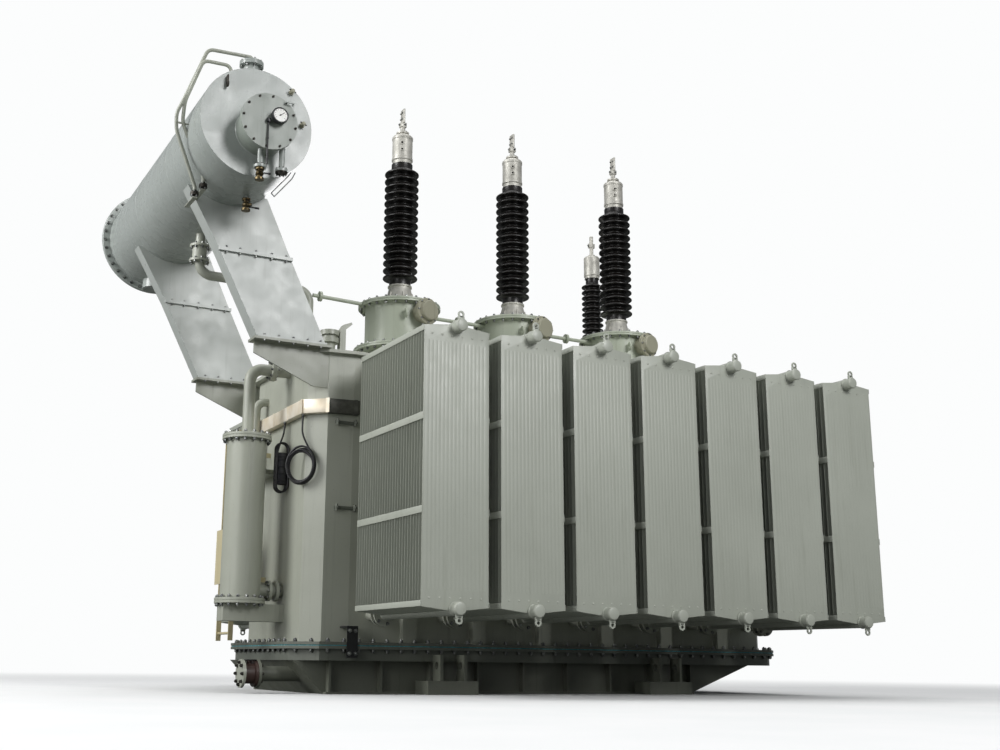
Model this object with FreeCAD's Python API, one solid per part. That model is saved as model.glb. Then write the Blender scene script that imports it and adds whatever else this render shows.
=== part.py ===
import FreeCAD, Part
import math
import os

V = FreeCAD.Vector
X = V(1, 0, 0)
Y = V(0, 1, 0)
Z = V(0, 0, 1)

# Millimetres. Origin on the ground under the middle of the tank.
# X runs along the tank, the conservator is at the -X end, the seen radiators are on the -Y side.

# tank
tank_length = 4540
tank_end = -tank_length / 2
tank_width = 1700
corner_cut = 130          # the 45 degree corner plate on the -Y side, measured along the end wall
back_corner_cut = 300
corner_lean = 25          # how far the shallow corner plate stands back from the long wall
corner_lean_length = 210
wall_top = 2656
cover_thickness = 26
cover_top = wall_top + cover_thickness
cover_overhang = 55

# bolted joint between the lower pan and the upper tank
flange_overhang = 135
flange_plate = 22
gasket_thickness = 8
gasket_inset = 6
joint_bottom = 334
pan_depth = 86
pan_overhang = 95

# base under the pan
base_left = tank_end + 175
base_right = -tank_end - 883
base_right_slope = 670
base_left_slope = 245
base_recess = 60
base_plate = 16
gusset_thickness = 18
gusset_count = 9
gusset_inset = 20         # from the ends of the base
pad_centres = (-1123, 968)
pad_length = 440
pad_reach = 225             # out from the base side
pad_height = 103
lug_spacing = 210
lug_reach = 130
lug_top = 300
lug_hole_z = 218
lug_thickness = 25
lug_hole = 30

# wall stiffeners
stiffener_width = 120
stiffener_depth = 60

# radiators
radiator_count = 7
radiator_pitch = 621.7
radiator_start = tank_end + 270
fin_width = 520
fin_height = 1959
fin_count = 26
fin_pitch = 44.2
fin_thickness = 10
fin_bottom = 607
fin_peak = 30
fin_gap = 306             # from the tank wall to the nearest fin
header_radius = 44.5
header_inset = 18
header_nose = 85
header_neck = 30          # back from the nearest fin, towards the tank
strap_height = 50
strap_thickness = 6
strap_bite = 2
end_strap_height = 40
ear_reach = 80            # from the header's axis to the middle of the eye
ear_radius = 26
ear_thickness = 12
ear_hole = 13
ear_setback = 30          # from the nose to the eye plate
valve_flange_radius = 92
valve_flange = 18
valve_body_radius = 62
valve_body = 46

# turrets and high voltage bushings
turret_y = -120
turret_x = (-1206, -24, 1166)
turret_radius = 308
turret_bottom_flange = 405
turret_top_flange = 371
turret_flange = 18
neck_height = 232
turret_height = 410
neck_radius = 285
ct_radius = 118
ct_cap_radius = 84
ct_reach = 452
ct_angle = 13             # turned from -Y towards +X
ct_height = 0.79
ct_rim = 40
bushing_base_radius = 150
bushing_neck_radius = 88
bushing_base_height = 194
bushing_base_plate = 22
bushing_flare_foot = 30
bushing_flare = (45, 10)  # beyond the neck, at the foot and under the collar
bushing_collar = 12       # beyond the porcelain's core
bushing_collar_height = 18
core_radius = 98
shed_radius = 158
shed_count = 15
shed_pitch = 71.8
shed_shape = ((0.12, 0), (0.22, 1), (0.34, 1), (0.66, 0))  # share of the pitch, share of the way to the rim
insulator_end = 50
cap_radius = 98
cap_height = 295
cap_ease = 15
terminal_radius = 60
terminal_plate = 30
terminal_height = 270
terminal_stem = 22
palm_height = 140
palm_width = 80
palm_thickness = 20
palm_bite = 10            # how far the stem runs up into the palm

# neutral bushing and low voltage bushings
neutral_x = 1375
neutral_y = 600
neutral_turret_radius = 190
neutral_turret_height = 690
neutral_lid = 36
neutral_lid_overhang = 45
neutral_shed_radius = 112
neutral_core_radius = 68
neutral_shed_count = 12
neutral_shed_pitch = 60
neutral_cap_radius = 84
neutral_cap_height = 290
neutral_cap_shoulder = 40
neutral_cap_slope = 15
neutral_stud = 190
neutral_stud_radius = 20
lv_x = (-1300, -560, 180, 920)
lv_y = 560
lv_flange_radius = 130
lv_flange = 40
lv_end = 20
lv_core_radius = 48
lv_shed_radius = 80
lv_shed_count = 4
lv_shed_pitch = 62
lv_stud_radius = 22
lv_stud_height = 110

# conservator
conservator_x = tank_end - 792
conservator_z = cover_top + 1488
conservator_radius = 436
conservator_length = 3050
end_flange_radius = 500
end_flange = 22
manhole_radius = 190
manhole_drop = 72
manhole_shift = 26
manhole_neck = 190
manhole_cover_radius = 218
manhole_cover = 18
nozzle_radius = 62
nozzle_flange_radius = 92
nozzle_height = 118
nozzle_lid = 36
nozzle_shift = -20
nozzle_y = -1380
sump_radius = 120
sump_height = 70
sump_y = 1400
boss_root = 80            # a boss starts this deep, and is trimmed to the shell
dial_radius = 62
dial_depth = 70
dial_x = 60
dial_z = 35

# conservator arms and their brackets on the tank end
arm_y = 810
arm_plate = 12
arm_depth = 150
arm_foot_left = tank_end - 505
arm_foot_right = tank_end + 70
arm_joint_left = tank_end - 844
arm_joint_right = tank_end - 253
arm_joint_z = cover_top + 683
arm_top_left = tank_end - 1122
arm_top_right = tank_end - 474
arm_top_z = cover_top + 1163
arm_flange = 14
arm_flange_reach = 25     # out from the channel's web
arm_flange_overhang = 8
arm_trim = 1              # the cut that hollows the channel runs past its ends
saddle_drop = 330
saddle_rise = 60
bracket_plate = 20
bracket_overhang = (25, 45)
bracket_web = 16
bracket_drop = 310
bracket_tip_drop = 95

# pipe from the conservator to the cover, and the gas pipe along the turrets
pipe_y = -120
pipe_radius = 40
pipe_flange_radius = 85
pipe_flange = 18
pipe_valve = 110
pipe_root = 20            # into the shell, then trimmed to it
pipe_run_z = cover_top + 702
pipe_down_x = tank_end + 196
pipe_bend = 110
pipe_valve_z = cover_top + 878
pipe_valve_radius = 62
gas_radius = 17
gas_levels = ((670, 654), (622, 620), (620, 616))  # of the ends of each span, above the cover
gas_flange_radius = 45
gas_flange_half = 11
gas_flange_shares = (0.12, 0.5, 0.5)  # along the spans from the oil pipe
gas_root = 6

breather_radius = 14
breather_flange = 34
breather_plate = 14
breather_bend = 40
breather_end_z = conservator_z - 425
breather_tail = 60        # the straight run above each end
breather_y = -1100
breather_down_x = (conservator_x - 331, conservator_x - 268)
breather_top_z = conservator_z + 492
breather_tie = (
    (conservator_x - 408, -1190, conservator_z + 30),
    (conservator_x - 518, -1190, conservator_z + 30),
)
breather_tie_radius = 8
breather_shelf_x = (conservator_x - 373, conservator_x - 178)
breather_shelf_reach = 45
breather_shelf = 12
end_pipe_x = (conservator_x + 2, conservator_x + 169)
end_pipe_z = conservator_z - 404
end_pipe_radius = 22
end_pipe_flange = 46
end_pipe_plate = 20
end_pipe_setback = 115    # from the conservator's end plate
end_cock = (22, 34)       # radius of the body and of its rings
end_cock_height = 95
end_cock_ring = 22
drain_cock_x = conservator_x + 72
drain_cock_y = -1120
drain_cock = (20, 36)
drain_cock_height = 115
drain_cock_ring = 24
drain_cock_upper_ring = 40
drain_lever = (105, 14, 10)   # length, width, thickness
drain_lever_drop = 84
fitting_at = (tank_end + 210, -600)
fitting_neck = (50, 58)
fitting_flange = 78
fitting_levels = (120, 160, 185, 225)
post_at = (tank_end + 304, -600)
post_width = 60
post_outline = ((-12, 0), (40, 0), (40, 250), (95, 300), (90, 318), (20, 290), (-12, 240))

# oil filter at the end of the tank
filter_x = tank_end - 342
filter_y = -250
filter_radius = 160
filter_bottom = 700
filter_top = 2010
filter_flange_radius = 200
filter_flange = 22
filter_pipe_radius = 48
filter_pipe_top = wall_top - 59
filter_pipe_bend = 110
filter_low_z = 787
filter_joint_overhang = 38
filter_joint = (150, 172)     # from the tank wall to the two plates of the upper joint
filter_joint_plate = 20
filter_low_overhang = 34
filter_low_joint = (60, 120)
filter_low_plate = 22
filter_beam = 135
filter_beam_width = 160
filter_beam_end = tank_end - 498

# conduit on the tank end, clear of the duct
conduit_at = (tank_end - 102, 280)
conduit_radius = 36
conduit_top = 2440
conduit_bend = 80
conduit_shelf_y = (-50, 430)
conduit_shelf_reach = 150
conduit_shelf_z = (1760, 1800)

# ladder, duct, drain, ground bar
ladder_x = tank_end - 280
ladder_y = (150, 480)
ladder_foot = 400
ladder_top = 2150
ladder_stile = (40, 12)
ladder_rung = 11
ladder_rung_pitch = 280
ladder_rung_start = 60
ladder_rung_end = 160
ladder_stand = (900, 1950)
ladder_stand_height = 40
ladder_door = (870, 1330)
ladder_door_overhang = (20, 110)
ladder_door_plate = 6
ladder_door_bite = 1
duct_height = 118
duct_depth = 60
duct_bottom = 2160
duct_end_y = 620
duct_front_x = tank_end + 370
gland_radius = 13
gland_length = 20
gland_root = 5            # up into the duct
drain_y = -520
drain_z = 145
drain_pipe_radius = 57
drain_flange_radius = 106
drain_flange = 20
drain_valve_length = 105
drain_valve_overhang = 18
drain_valve_flange = (8, 22)  # inside the pipe flange's edge, and its thickness
drain_bonnet_radius = 18
drain_bonnet_height = 105
drain_root = 60           # into the base, then trimmed to it
drain_end_x = tank_end - 400
ground_bar_x = (tank_end + 278, tank_end + 367)
ground_bar_z = (269, 505)
ground_bar_thickness = 8
ground_bar_shelf = 12

cut_over = 10             # a cutting tool runs this far past what it cuts

# cables left coiled under the duct
cable_radius = 7.5
coil_centre = (-2312, -712, 1745)
coil_outer = 138
coil_inner = 90
coil_stretch = 32         # the coil hangs this much taller than round, above and below its centre
coil_width = 52
coil_turn = 45
cable_route = [
    (-2305, -705, 2140),
    (-2309, -707, 2064),
    (-2306, -711, 1986),
    (-2312, -712, 1915),
]
hank_centre = (-2334, -320)
hank_width = 112
hank_thickness = 76
hank_z = (1572, 1990)
hank_route = [
    (-2318, -320, 2140),
    (-2322, -322, 2092),
    (-2331, -319, 2040),
    (-2334, -320, 1990),
]


def box(x0, x1, y0, y1, z0, z1):
    return Part.makeBox(x1 - x0, y1 - y0, z1 - z0, V(x0, y0, z0))


def rod(radius, start, end):
    """A cylinder from one point to another."""
    run = end - start
    return Part.makeCylinder(radius, run.Length, start, run)


def disc(radius, height, x, y, z):
    return Part.makeCylinder(radius, height, V(x, y, z))


def prism(points, z0, height):
    """Extrudes an outline of (x, y) points upwards."""
    ring = [V(x, y, z0) for x, y in points]
    return Part.Face(Part.makePolygon(ring + ring[:1])).extrude(V(0, 0, height))


def side_plate(points, y0, thickness):
    """Extrudes an outline of (x, z) points along Y."""
    ring = [V(x, y0, z) for x, z in points]
    return Part.Face(Part.makePolygon(ring + ring[:1])).extrude(V(0, thickness, 0))


def join(shapes):
    whole = shapes[0]
    if len(shapes) > 1:
        whole = shapes[0].multiFuse(shapes[1:])
    return whole.removeSplitter()


def lathe(profile, x, y, z):
    """Turns a profile of (radius, height) points about a vertical axis."""
    ring = [V(x + r, y, z + h) for r, h in profile]
    face = Part.Face(Part.makePolygon(ring + ring[:1]))
    return face.revolve(V(x, y, z), Z, 360)


def bent_pipe(points, radius, bend):
    """A round pipe along straight runs joined by tangent arcs."""
    points = [V(*p) for p in points]
    edges = []
    start = points[0]
    for before, corner, after in zip(points, points[1:], points[2:]):
        into = (corner - before).normalize()
        out = (after - corner).normalize()
        half = into.getAngle(out) / 2
        cut = bend * math.tan(half)
        first = corner - into * cut
        last = corner + out * cut
        inward = (out - into).normalize()
        middle = corner + inward * (bend / math.cos(half) - bend)
        edges.append(Part.LineSegment(start, first).toShape())
        edges.append(Part.Arc(first, middle, last).toShape())
        start = last
    edges.append(Part.LineSegment(start, points[-1]).toShape())
    path = Part.Wire(edges)
    ring = Part.Wire(Part.makeCircle(radius, points[0], points[1] - points[0]))
    return path.makePipeShell([ring], True, False)


def tank_outline(grow):
    """The plan of the tank, each wall moved outwards by grow."""
    a = tank_length / 2
    b = tank_width / 2
    back = corner(a, b, back_corner_cut)
    front = corner(a, b, corner_cut)
    points = list(back)
    points += [(-x, y) for x, y in reversed(back)]
    points += [(-x, -y) for x, y in front]
    points += [(x, -y) for x, y in reversed(front)]
    return offset_outline(points, grow)


def corner(a, b, cut):
    """One corner: the end wall, a 45 degree plate, a shallow plate, then the long wall."""
    return [
        (a, b - cut - corner_lean),
        (a - cut, b - corner_lean),
        (a - cut - corner_lean_length, b),
    ]


def offset_outline(points, grow):
    moved = []
    count = len(points)
    for i in range(count):
        ax, ay = points[i - 1]
        bx, by = points[i]
        cx, cy = points[(i + 1) % count]
        ux, uy = unit(bx - ax, by - ay)
        vx, vy = unit(cx - bx, cy - by)
        # outward normals of the walls before and after this corner
        n1 = (uy, -ux)
        n2 = (vy, -vx)
        scale = grow / (1 + n1[0] * n2[0] + n1[1] * n2[1])
        moved.append((bx + (n1[0] + n2[0]) * scale, by + (n1[1] + n2[1]) * scale))
    return moved


def unit(x, y):
    length = math.hypot(x, y)
    return x / length, y / length


nodes = {}
front_wall = -tank_width / 2
pan_bottom = joint_bottom - pan_depth
joint_top = joint_bottom + 2 * flange_plate + gasket_thickness


def make_tank():
    nodes["lower_pan"] = prism(tank_outline(pan_overhang), pan_bottom, pan_depth)
    nodes["joint_flange_lower"] = prism(tank_outline(flange_overhang), joint_bottom, flange_plate)
    gasket_z = joint_bottom + flange_plate
    nodes["joint_gasket"] = prism(tank_outline(flange_overhang - gasket_inset), gasket_z, gasket_thickness)
    upper_z = gasket_z + gasket_thickness
    nodes["joint_flange_upper"] = prism(tank_outline(flange_overhang), upper_z, flange_plate)
    nodes["tank_body"] = prism(tank_outline(0), joint_top, wall_top - joint_top)
    nodes["tank_cover"] = prism(tank_outline(cover_overhang), wall_top, cover_thickness)


def make_stiffeners():
    """Vertical box stiffeners on the long walls, between the radiator pipes."""
    bars = []
    for i in range(radiator_count - 1):
        x = radiator_start + fin_width + (radiator_pitch - fin_width) / 2 + i * radiator_pitch
        for side in (-1, 1):
            y = side * tank_width / 2
            y0 = min(y, y + side * stiffener_depth)
            bars.append(box(x - stiffener_width / 2, x + stiffener_width / 2, y0, y0 + stiffener_depth,
                            joint_top, wall_top))
    nodes["wall_stiffeners"] = Part.makeCompound(bars)


def make_base():
    half = tank_width / 2 - base_recess
    outline = [
        (base_left, 0),
        (base_right, 0),
        (base_right + base_right_slope, pan_bottom),
        (base_left - base_left_slope, pan_bottom),
    ]
    core = side_plate(outline, -half, 2 * half)
    reach = half + base_recess
    ribs = [core, box(base_left, base_right, -reach, reach, 0, base_plate)]
    gusset_run = base_right - base_left - 2 * gusset_inset - gusset_thickness
    gusset_step = gusset_run / (gusset_count - 1)
    for i in range(gusset_count):
        x = base_left + gusset_inset + i * gusset_step
        ribs.append(box(x, x + gusset_thickness, -reach, reach, 0, pan_bottom))
    nodes["base_frame"] = join(ribs)


def make_pads():
    """Jacking pads on the base side, each with two hauling lugs up to the joint."""
    start = tank_width / 2
    wall = start + pan_overhang
    pads = []
    lugs = []
    for x in pad_centres:
        for side in (-1, 1):
            y0 = min(side * start, side * (start + pad_reach))
            pads.append(box(x - pad_length / 2, x + pad_length / 2, y0, y0 + pad_reach, 0, pad_height))
            l0 = min(side * wall, side * (wall + lug_reach))
            for step in (-1, 1):
                lx = x + step * lug_spacing / 2 - lug_thickness / 2
                plate = box(lx, lx + lug_thickness, l0, l0 + lug_reach, pad_height, lug_top)
                hole_at = V(lx - cut_over, l0 + lug_reach / 2, lug_hole_z)
                lugs.append(plate.cut(Part.makeCylinder(lug_hole, lug_thickness + 2 * cut_over, hole_at, X)))
    nodes["jacking_pads"] = Part.makeCompound(pads)
    nodes["hauling_lugs"] = Part.makeCompound(lugs)


def radiator(x0, side):
    """One bank: pressed fins on two header pipes, with flat straps on both flanks."""
    inner = tank_width / 2 + fin_gap
    stack = (fin_count - 1) * fin_pitch + fin_thickness
    top = fin_bottom + fin_height
    middle = x0 + fin_width / 2
    hexagon = [
        (x0, fin_bottom),
        (middle, fin_bottom - fin_peak),
        (x0 + fin_width, fin_bottom),
        (x0 + fin_width, top),
        (middle, top + fin_peak),
        (x0, top),
    ]
    pieces = []
    for i in range(fin_count):
        y = inner + i * fin_pitch
        y0 = min(side * y, side * (y + fin_thickness))
        pieces.append(side_plate(hexagon, y0, fin_thickness))
    start = side * (inner - header_neck)
    end = side * (inner + stack + header_nose)
    for z, up in ((fin_bottom - fin_peak + header_inset, -1), (top + fin_peak - header_inset, 1)):
        pieces.append(rod(header_radius, V(middle, start, z), V(middle, end, z)))
        pieces.append(eye_plate(middle, end - side * ear_setback, z, up))
    far = side * (inner + stack)
    y0 = min(side * inner, far)
    levels = [(fin_bottom, end_strap_height), (top - end_strap_height, end_strap_height)]
    for share in (1 / 3, 2 / 3):
        levels.append((fin_bottom + fin_height * share - strap_height / 2, strap_height))
    for z, height in levels:
        for x in (x0 - strap_thickness + strap_bite, x0 + fin_width - strap_bite):
            pieces.append(box(x, x + strap_thickness, y0, y0 + stack, z, z + height))
    return join(pieces)


def eye_plate(x, y, z, up):
    """A lifting eye that stands on a header pipe, or hangs under it."""
    y0 = y - ear_thickness / 2
    eye = V(x, y0, z + up * ear_reach)
    low, high = sorted((z, eye.z))
    plate = join([
        box(x - ear_radius, x + ear_radius, y0, y0 + ear_thickness, low, high),
        Part.makeCylinder(ear_radius, ear_thickness, eye, Y),
    ])
    return plate.cut(Part.makeCylinder(ear_hole, ear_thickness, eye, Y))


def make_radiators():
    for i in range(radiator_count):
        x0 = radiator_start + i * radiator_pitch
        nodes["radiator_pair_%d" % (i + 1)] = Part.makeCompound([radiator(x0, -1), radiator(x0, 1)])


def make_valves():
    """Flanged butterfly valves between the tank wall and the header pipes."""
    inner = tank_width / 2 + fin_gap - header_neck
    wall = tank_width / 2 - 2 * corner_lean
    top = fin_bottom + fin_height
    stubs = []
    for side in (-1, 1):
        for i in range(radiator_count):
            x = radiator_start + i * radiator_pitch + fin_width / 2
            for z in (fin_bottom - fin_peak + header_inset, top + fin_peak - header_inset):
                parts = [rod(header_radius, V(x, side * wall, z), V(x, side * inner, z))]
                for y in (inner - valve_flange, inner - 2 * valve_flange - valve_body):
                    end = V(x, side * (y + valve_flange), z)
                    parts.append(rod(valve_flange_radius, V(x, side * y, z), end))
                y = inner - valve_flange - valve_body
                parts.append(rod(valve_body_radius, V(x, side * y, z), V(x, side * (y + valve_body), z)))
                stubs.append(join(parts).cut(nodes["tank_body"]))
    nodes["radiator_valves"] = Part.makeCompound(stubs)


def make_turrets():
    boxes = []
    drums = []
    for x in turret_x:
        z = cover_top
        profile = [
            (0, 0),
            (neck_radius, 0),
            (neck_radius, neck_height),
            (turret_bottom_flange, neck_height),
            (turret_bottom_flange, neck_height + 2 * turret_flange),
            (turret_radius, neck_height + 2 * turret_flange),
            (turret_radius, neck_height + turret_height),
            (turret_top_flange, neck_height + turret_height),
            (turret_top_flange, neck_height + turret_height + 2 * turret_flange),
            (0, neck_height + turret_height + 2 * turret_flange),
        ]
        drums.append(lathe(profile, x, turret_y, z))
        centre = V(x, turret_y, z + neck_height + turret_height * ct_height)
        out = V(math.sin(math.radians(ct_angle)), -math.cos(math.radians(ct_angle)), 0)
        neck = rod(ct_cap_radius, centre, centre + out * ct_reach)
        cap = rod(ct_radius, centre + out * (ct_reach - 2 * ct_rim), centre + out * (ct_reach - ct_rim))
        drum = disc(turret_radius, turret_height, x, turret_y, z + neck_height)
        boxes.append(join([neck, cap]).cut(drum))
    drums.append(disc(neutral_turret_radius, neutral_turret_height, neutral_x, neutral_y, cover_top))
    lid_z = cover_top + neutral_turret_height
    lid = disc(neutral_turret_radius + neutral_lid_overhang, neutral_lid, neutral_x, neutral_y, lid_z)
    drums[-1] = join([drums[-1], lid])
    nodes["turrets"] = Part.makeCompound(drums)
    nodes["ct_terminal_boxes"] = Part.makeCompound(boxes)


def shed_stack(x, y, z, core, shed, count, pitch, end):
    """A porcelain insulator: a core with sloping sheds."""
    profile = [(0, 0), (core, 0), (core, end)]
    for i in range(count):
        foot = end + i * pitch
        for up, out in shed_shape:
            profile.append((core + (shed - core) * out, foot + pitch * up))
    top = 2 * end + count * pitch
    profile.append((core, top))
    profile.append((0, top))
    return lathe(profile, x, y, z)


def make_bushings():
    bases = []
    insulators = []
    caps = []
    base_z = cover_top + neck_height + turret_height + 2 * turret_flange
    stack = 2 * insulator_end + shed_count * shed_pitch
    for x in turret_x:
        foot = [
            (0, 0),
            (bushing_base_radius, 0),
            (bushing_base_radius, bushing_base_plate),
            (bushing_neck_radius + bushing_flare[0], bushing_flare_foot),
            (bushing_neck_radius + bushing_flare[1], bushing_base_height - bushing_collar_height),
            (core_radius + bushing_collar, bushing_base_height - bushing_collar_height),
            (core_radius + bushing_collar, bushing_base_height),
            (0, bushing_base_height),
        ]
        bases.append(lathe(foot, x, turret_y, base_z))
        z = base_z + bushing_base_height
        insulators.append(shed_stack(x, turret_y, z, core_radius, shed_radius,
                                     shed_count, shed_pitch, insulator_end))
        z = z + stack
        palm_low = cap_height + terminal_height - palm_height
        head = [
            (0, 0),
            (cap_radius, 0),
            (cap_radius, cap_height - cap_ease),
            (cap_radius - cap_ease, cap_height),
            (terminal_radius, cap_height),
            (terminal_radius, cap_height + terminal_plate),
            (terminal_stem, cap_height + terminal_plate),
            (terminal_stem, palm_low + palm_bite),
            (0, palm_low + palm_bite),
        ]
        palm = box(x - palm_thickness / 2, x + palm_thickness / 2, turret_y - palm_width / 2,
                   turret_y + palm_width / 2, z + palm_low, z + palm_low + palm_height)
        caps.append(join([lathe(head, x, turret_y, z), palm]))
    insulator, cap = neutral_bushing()
    insulators.append(insulator)
    caps.append(cap)
    nodes["bushing_bases"] = Part.makeCompound(bases)
    nodes["bushing_insulators"] = Part.makeCompound(insulators)
    nodes["bushing_caps"] = Part.makeCompound(caps)


def neutral_bushing():
    z = cover_top + neutral_turret_height + neutral_lid
    insulator = shed_stack(neutral_x, neutral_y, z, neutral_core_radius, neutral_shed_radius,
                           neutral_shed_count, neutral_shed_pitch, insulator_end)
    head = [
        (0, 0),
        (neutral_cap_radius, 0),
        (neutral_cap_radius, neutral_cap_height - neutral_cap_shoulder),
        (neutral_stud_radius, neutral_cap_height - neutral_cap_shoulder + neutral_cap_slope),
        (neutral_stud_radius, neutral_cap_height + neutral_stud),
        (0, neutral_cap_height + neutral_stud),
    ]
    z = z + 2 * insulator_end + neutral_shed_count * neutral_shed_pitch
    return insulator, lathe(head, neutral_x, neutral_y, z)


def make_low_voltage():
    """Short bushings along the far side of the cover."""
    metal = []
    porcelain = []
    for x in lv_x:
        metal.append(disc(lv_flange_radius, lv_flange, x, lv_y, cover_top))
        porcelain.append(shed_stack(x, lv_y, cover_top + lv_flange, lv_core_radius, lv_shed_radius,
                                    lv_shed_count, lv_shed_pitch, lv_end))
        top = cover_top + lv_flange + 2 * lv_end + lv_shed_count * lv_shed_pitch
        metal.append(disc(lv_stud_radius, lv_stud_height, x, lv_y, top))
    nodes["lv_bushing_metal"] = Part.makeCompound(metal)
    nodes["lv_bushing_insulators"] = Part.makeCompound(porcelain)


def make_conservator():
    half = conservator_length / 2
    cx = conservator_x
    cz = conservator_z
    shell = rod(conservator_radius, V(cx, -half, cz), V(cx, half, cz))
    nodes["conservator_shell"] = shell
    flange_end = V(cx, half + 2 * end_flange, cz)
    nodes["conservator_end_flange"] = rod(end_flange_radius, V(cx, half, cz), flange_end)
    neck_end = -half - manhole_neck
    mx = cx + manhole_shift
    mz = cz - manhole_drop
    neck = rod(manhole_radius, V(mx, -half, mz), V(mx, neck_end, mz))
    cover = rod(manhole_cover_radius, V(mx, neck_end, mz), V(mx, neck_end - 2 * manhole_cover, mz))
    nodes["conservator_manhole"] = join([neck, cover])
    face = neck_end - 2 * manhole_cover
    dial = V(mx + dial_x, face, mz + dial_z)
    nodes["level_dial"] = rod(dial_radius, dial, dial - Y * dial_depth)
    top = cz + conservator_radius
    nx = cx + nozzle_shift
    nozzle = disc(nozzle_radius, nozzle_height + boss_root, nx, nozzle_y, top - boss_root)
    lid = disc(nozzle_flange_radius, nozzle_lid, nx, nozzle_y, top + nozzle_height - nozzle_lid)
    nozzle = join([nozzle, lid]).cut(shell)
    sump = disc(sump_radius, sump_height + boss_root, cx, sump_y, cz - conservator_radius - sump_height)
    nodes["conservator_bosses"] = Part.makeCompound([nozzle, sump.cut(shell)])


def make_arms():
    """Two leaning channel arms that carry the conservator in saddles, on brackets at the tank end."""
    half = conservator_length / 2
    saddle_round = rod(conservator_radius + arm_plate, V(conservator_x, -half, conservator_z),
                       V(conservator_x, half, conservator_z))
    foot_z = cover_top + bracket_plate
    outline = [
        (arm_foot_left, foot_z),
        (arm_foot_right, foot_z),
        (arm_joint_right, arm_joint_z),
        (arm_top_right, arm_top_z),
        (arm_top_left, arm_top_z),
        (arm_joint_left, arm_joint_z),
    ]
    inside = [
        (arm_foot_left + arm_plate, foot_z - arm_trim),
        (arm_foot_right - arm_plate, foot_z - arm_trim),
        (arm_joint_right - arm_plate, arm_joint_z),
        (arm_top_right - arm_plate, arm_top_z + arm_trim),
        (arm_top_left + arm_plate, arm_top_z + arm_trim),
        (arm_joint_left + arm_plate, arm_joint_z),
    ]
    gusset = [
        (arm_foot_left, cover_top),
        (arm_foot_left, cover_top - bracket_tip_drop),
        (-tank_length / 2, cover_top - bracket_drop),
        (-tank_length / 2 + back_corner_cut, cover_top - bracket_drop),
        (-tank_length / 2 + back_corner_cut, cover_top),
    ]
    solid_tank = [nodes["tank_body"], nodes["tank_cover"]]
    brackets = []
    for side, name in ((-1, "near"), (1, "far")):
        front = side * arm_y - arm_depth / 2
        channel = side_plate(outline, front, arm_depth)
        channel = channel.cut(side_plate(inside, front + arm_plate, arm_depth))
        lip = front - arm_flange_reach
        back = front + arm_depth
        flange = box(arm_joint_left - arm_flange_overhang, arm_joint_right + arm_flange_overhang,
                     lip, front + arm_plate, arm_joint_z - arm_flange, arm_joint_z + arm_flange)
        foot = box(arm_foot_left, arm_foot_right, lip, back, foot_z, foot_z + arm_flange)
        saddle = box(arm_top_left, arm_top_right, front, back,
                     arm_top_z - saddle_drop, arm_top_z + saddle_rise)
        saddle = saddle.common(saddle_round).common(side_plate(outline, front, arm_depth))
        arm = join([channel, flange, foot, saddle]).cut(nodes["conservator_shell"])
        nodes["conservator_arm_" + name] = arm
        plate = box(arm_foot_left - bracket_overhang[0], arm_foot_right + bracket_overhang[1], lip, back,
                    cover_top, foot_z)
        middle = front + arm_depth / 2
        web = side_plate(gusset, middle - bracket_web / 2, bracket_web)
        brackets.append(join([plate, web.cut(solid_tank[0]).cut(solid_tank[1])]))
    nodes["arm_brackets"] = Part.makeCompound(brackets)


def make_oil_pipe():
    """From the underside of the conservator, through a valve, down to the cover."""
    x = conservator_x
    bottom = conservator_z - conservator_radius
    route = [
        (x, pipe_y, bottom + pipe_root),
        (x, pipe_y, pipe_run_z),
        (pipe_down_x, pipe_y, pipe_run_z),
        (pipe_down_x, pipe_y, cover_top),
    ]
    pieces = [bent_pipe(route, pipe_radius, pipe_bend)]
    half = pipe_valve / 2
    for z in (pipe_valve_z + half, pipe_valve_z - half - pipe_flange):
        pieces.append(disc(pipe_flange_radius, pipe_flange, x, pipe_y, z))
    pieces.append(disc(pipe_flange_radius, 2 * pipe_flange, pipe_down_x, pipe_y, cover_top))
    valve = disc(pipe_valve_radius, pipe_valve, x, pipe_y, pipe_valve_z - half)
    nodes["oil_pipe"] = join(pieces).cut(nodes["conservator_shell"]).cut(valve)
    nodes["oil_pipe_valve"] = valve


def make_gas_pipe():
    """A thin sloping pipe that joins the tops of the turrets to the oil pipe."""
    stops = [pipe_down_x + pipe_radius]
    for x in turret_x:
        stops += [x - turret_radius, x + turret_radius]
    stops = stops[:-1]
    spans = []
    for start, end, levels, share in zip(stops[0::2], stops[1::2], gas_levels, gas_flange_shares):
        a = V(start, pipe_y, cover_top + levels[0])
        b = V(end, pipe_y, cover_top + levels[1])
        pieces = [rod(gas_radius, a - X * gas_root, b + X * gas_root)]
        middle = a + (b - a) * share
        pieces.append(rod(gas_flange_radius, middle - X * gas_flange_half, middle + X * gas_flange_half))
        spans.append(join(pieces))
    tools = [nodes["turrets"], nodes["oil_pipe"]]
    nodes["gas_pipe"] = Part.makeCompound([trim(span, tools) for span in spans])


def trim(shape, tools):
    for tool in tools:
        shape = shape.cut(tool)
    return max(shape.Solids, key=lambda solid: solid.Volume)


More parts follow.
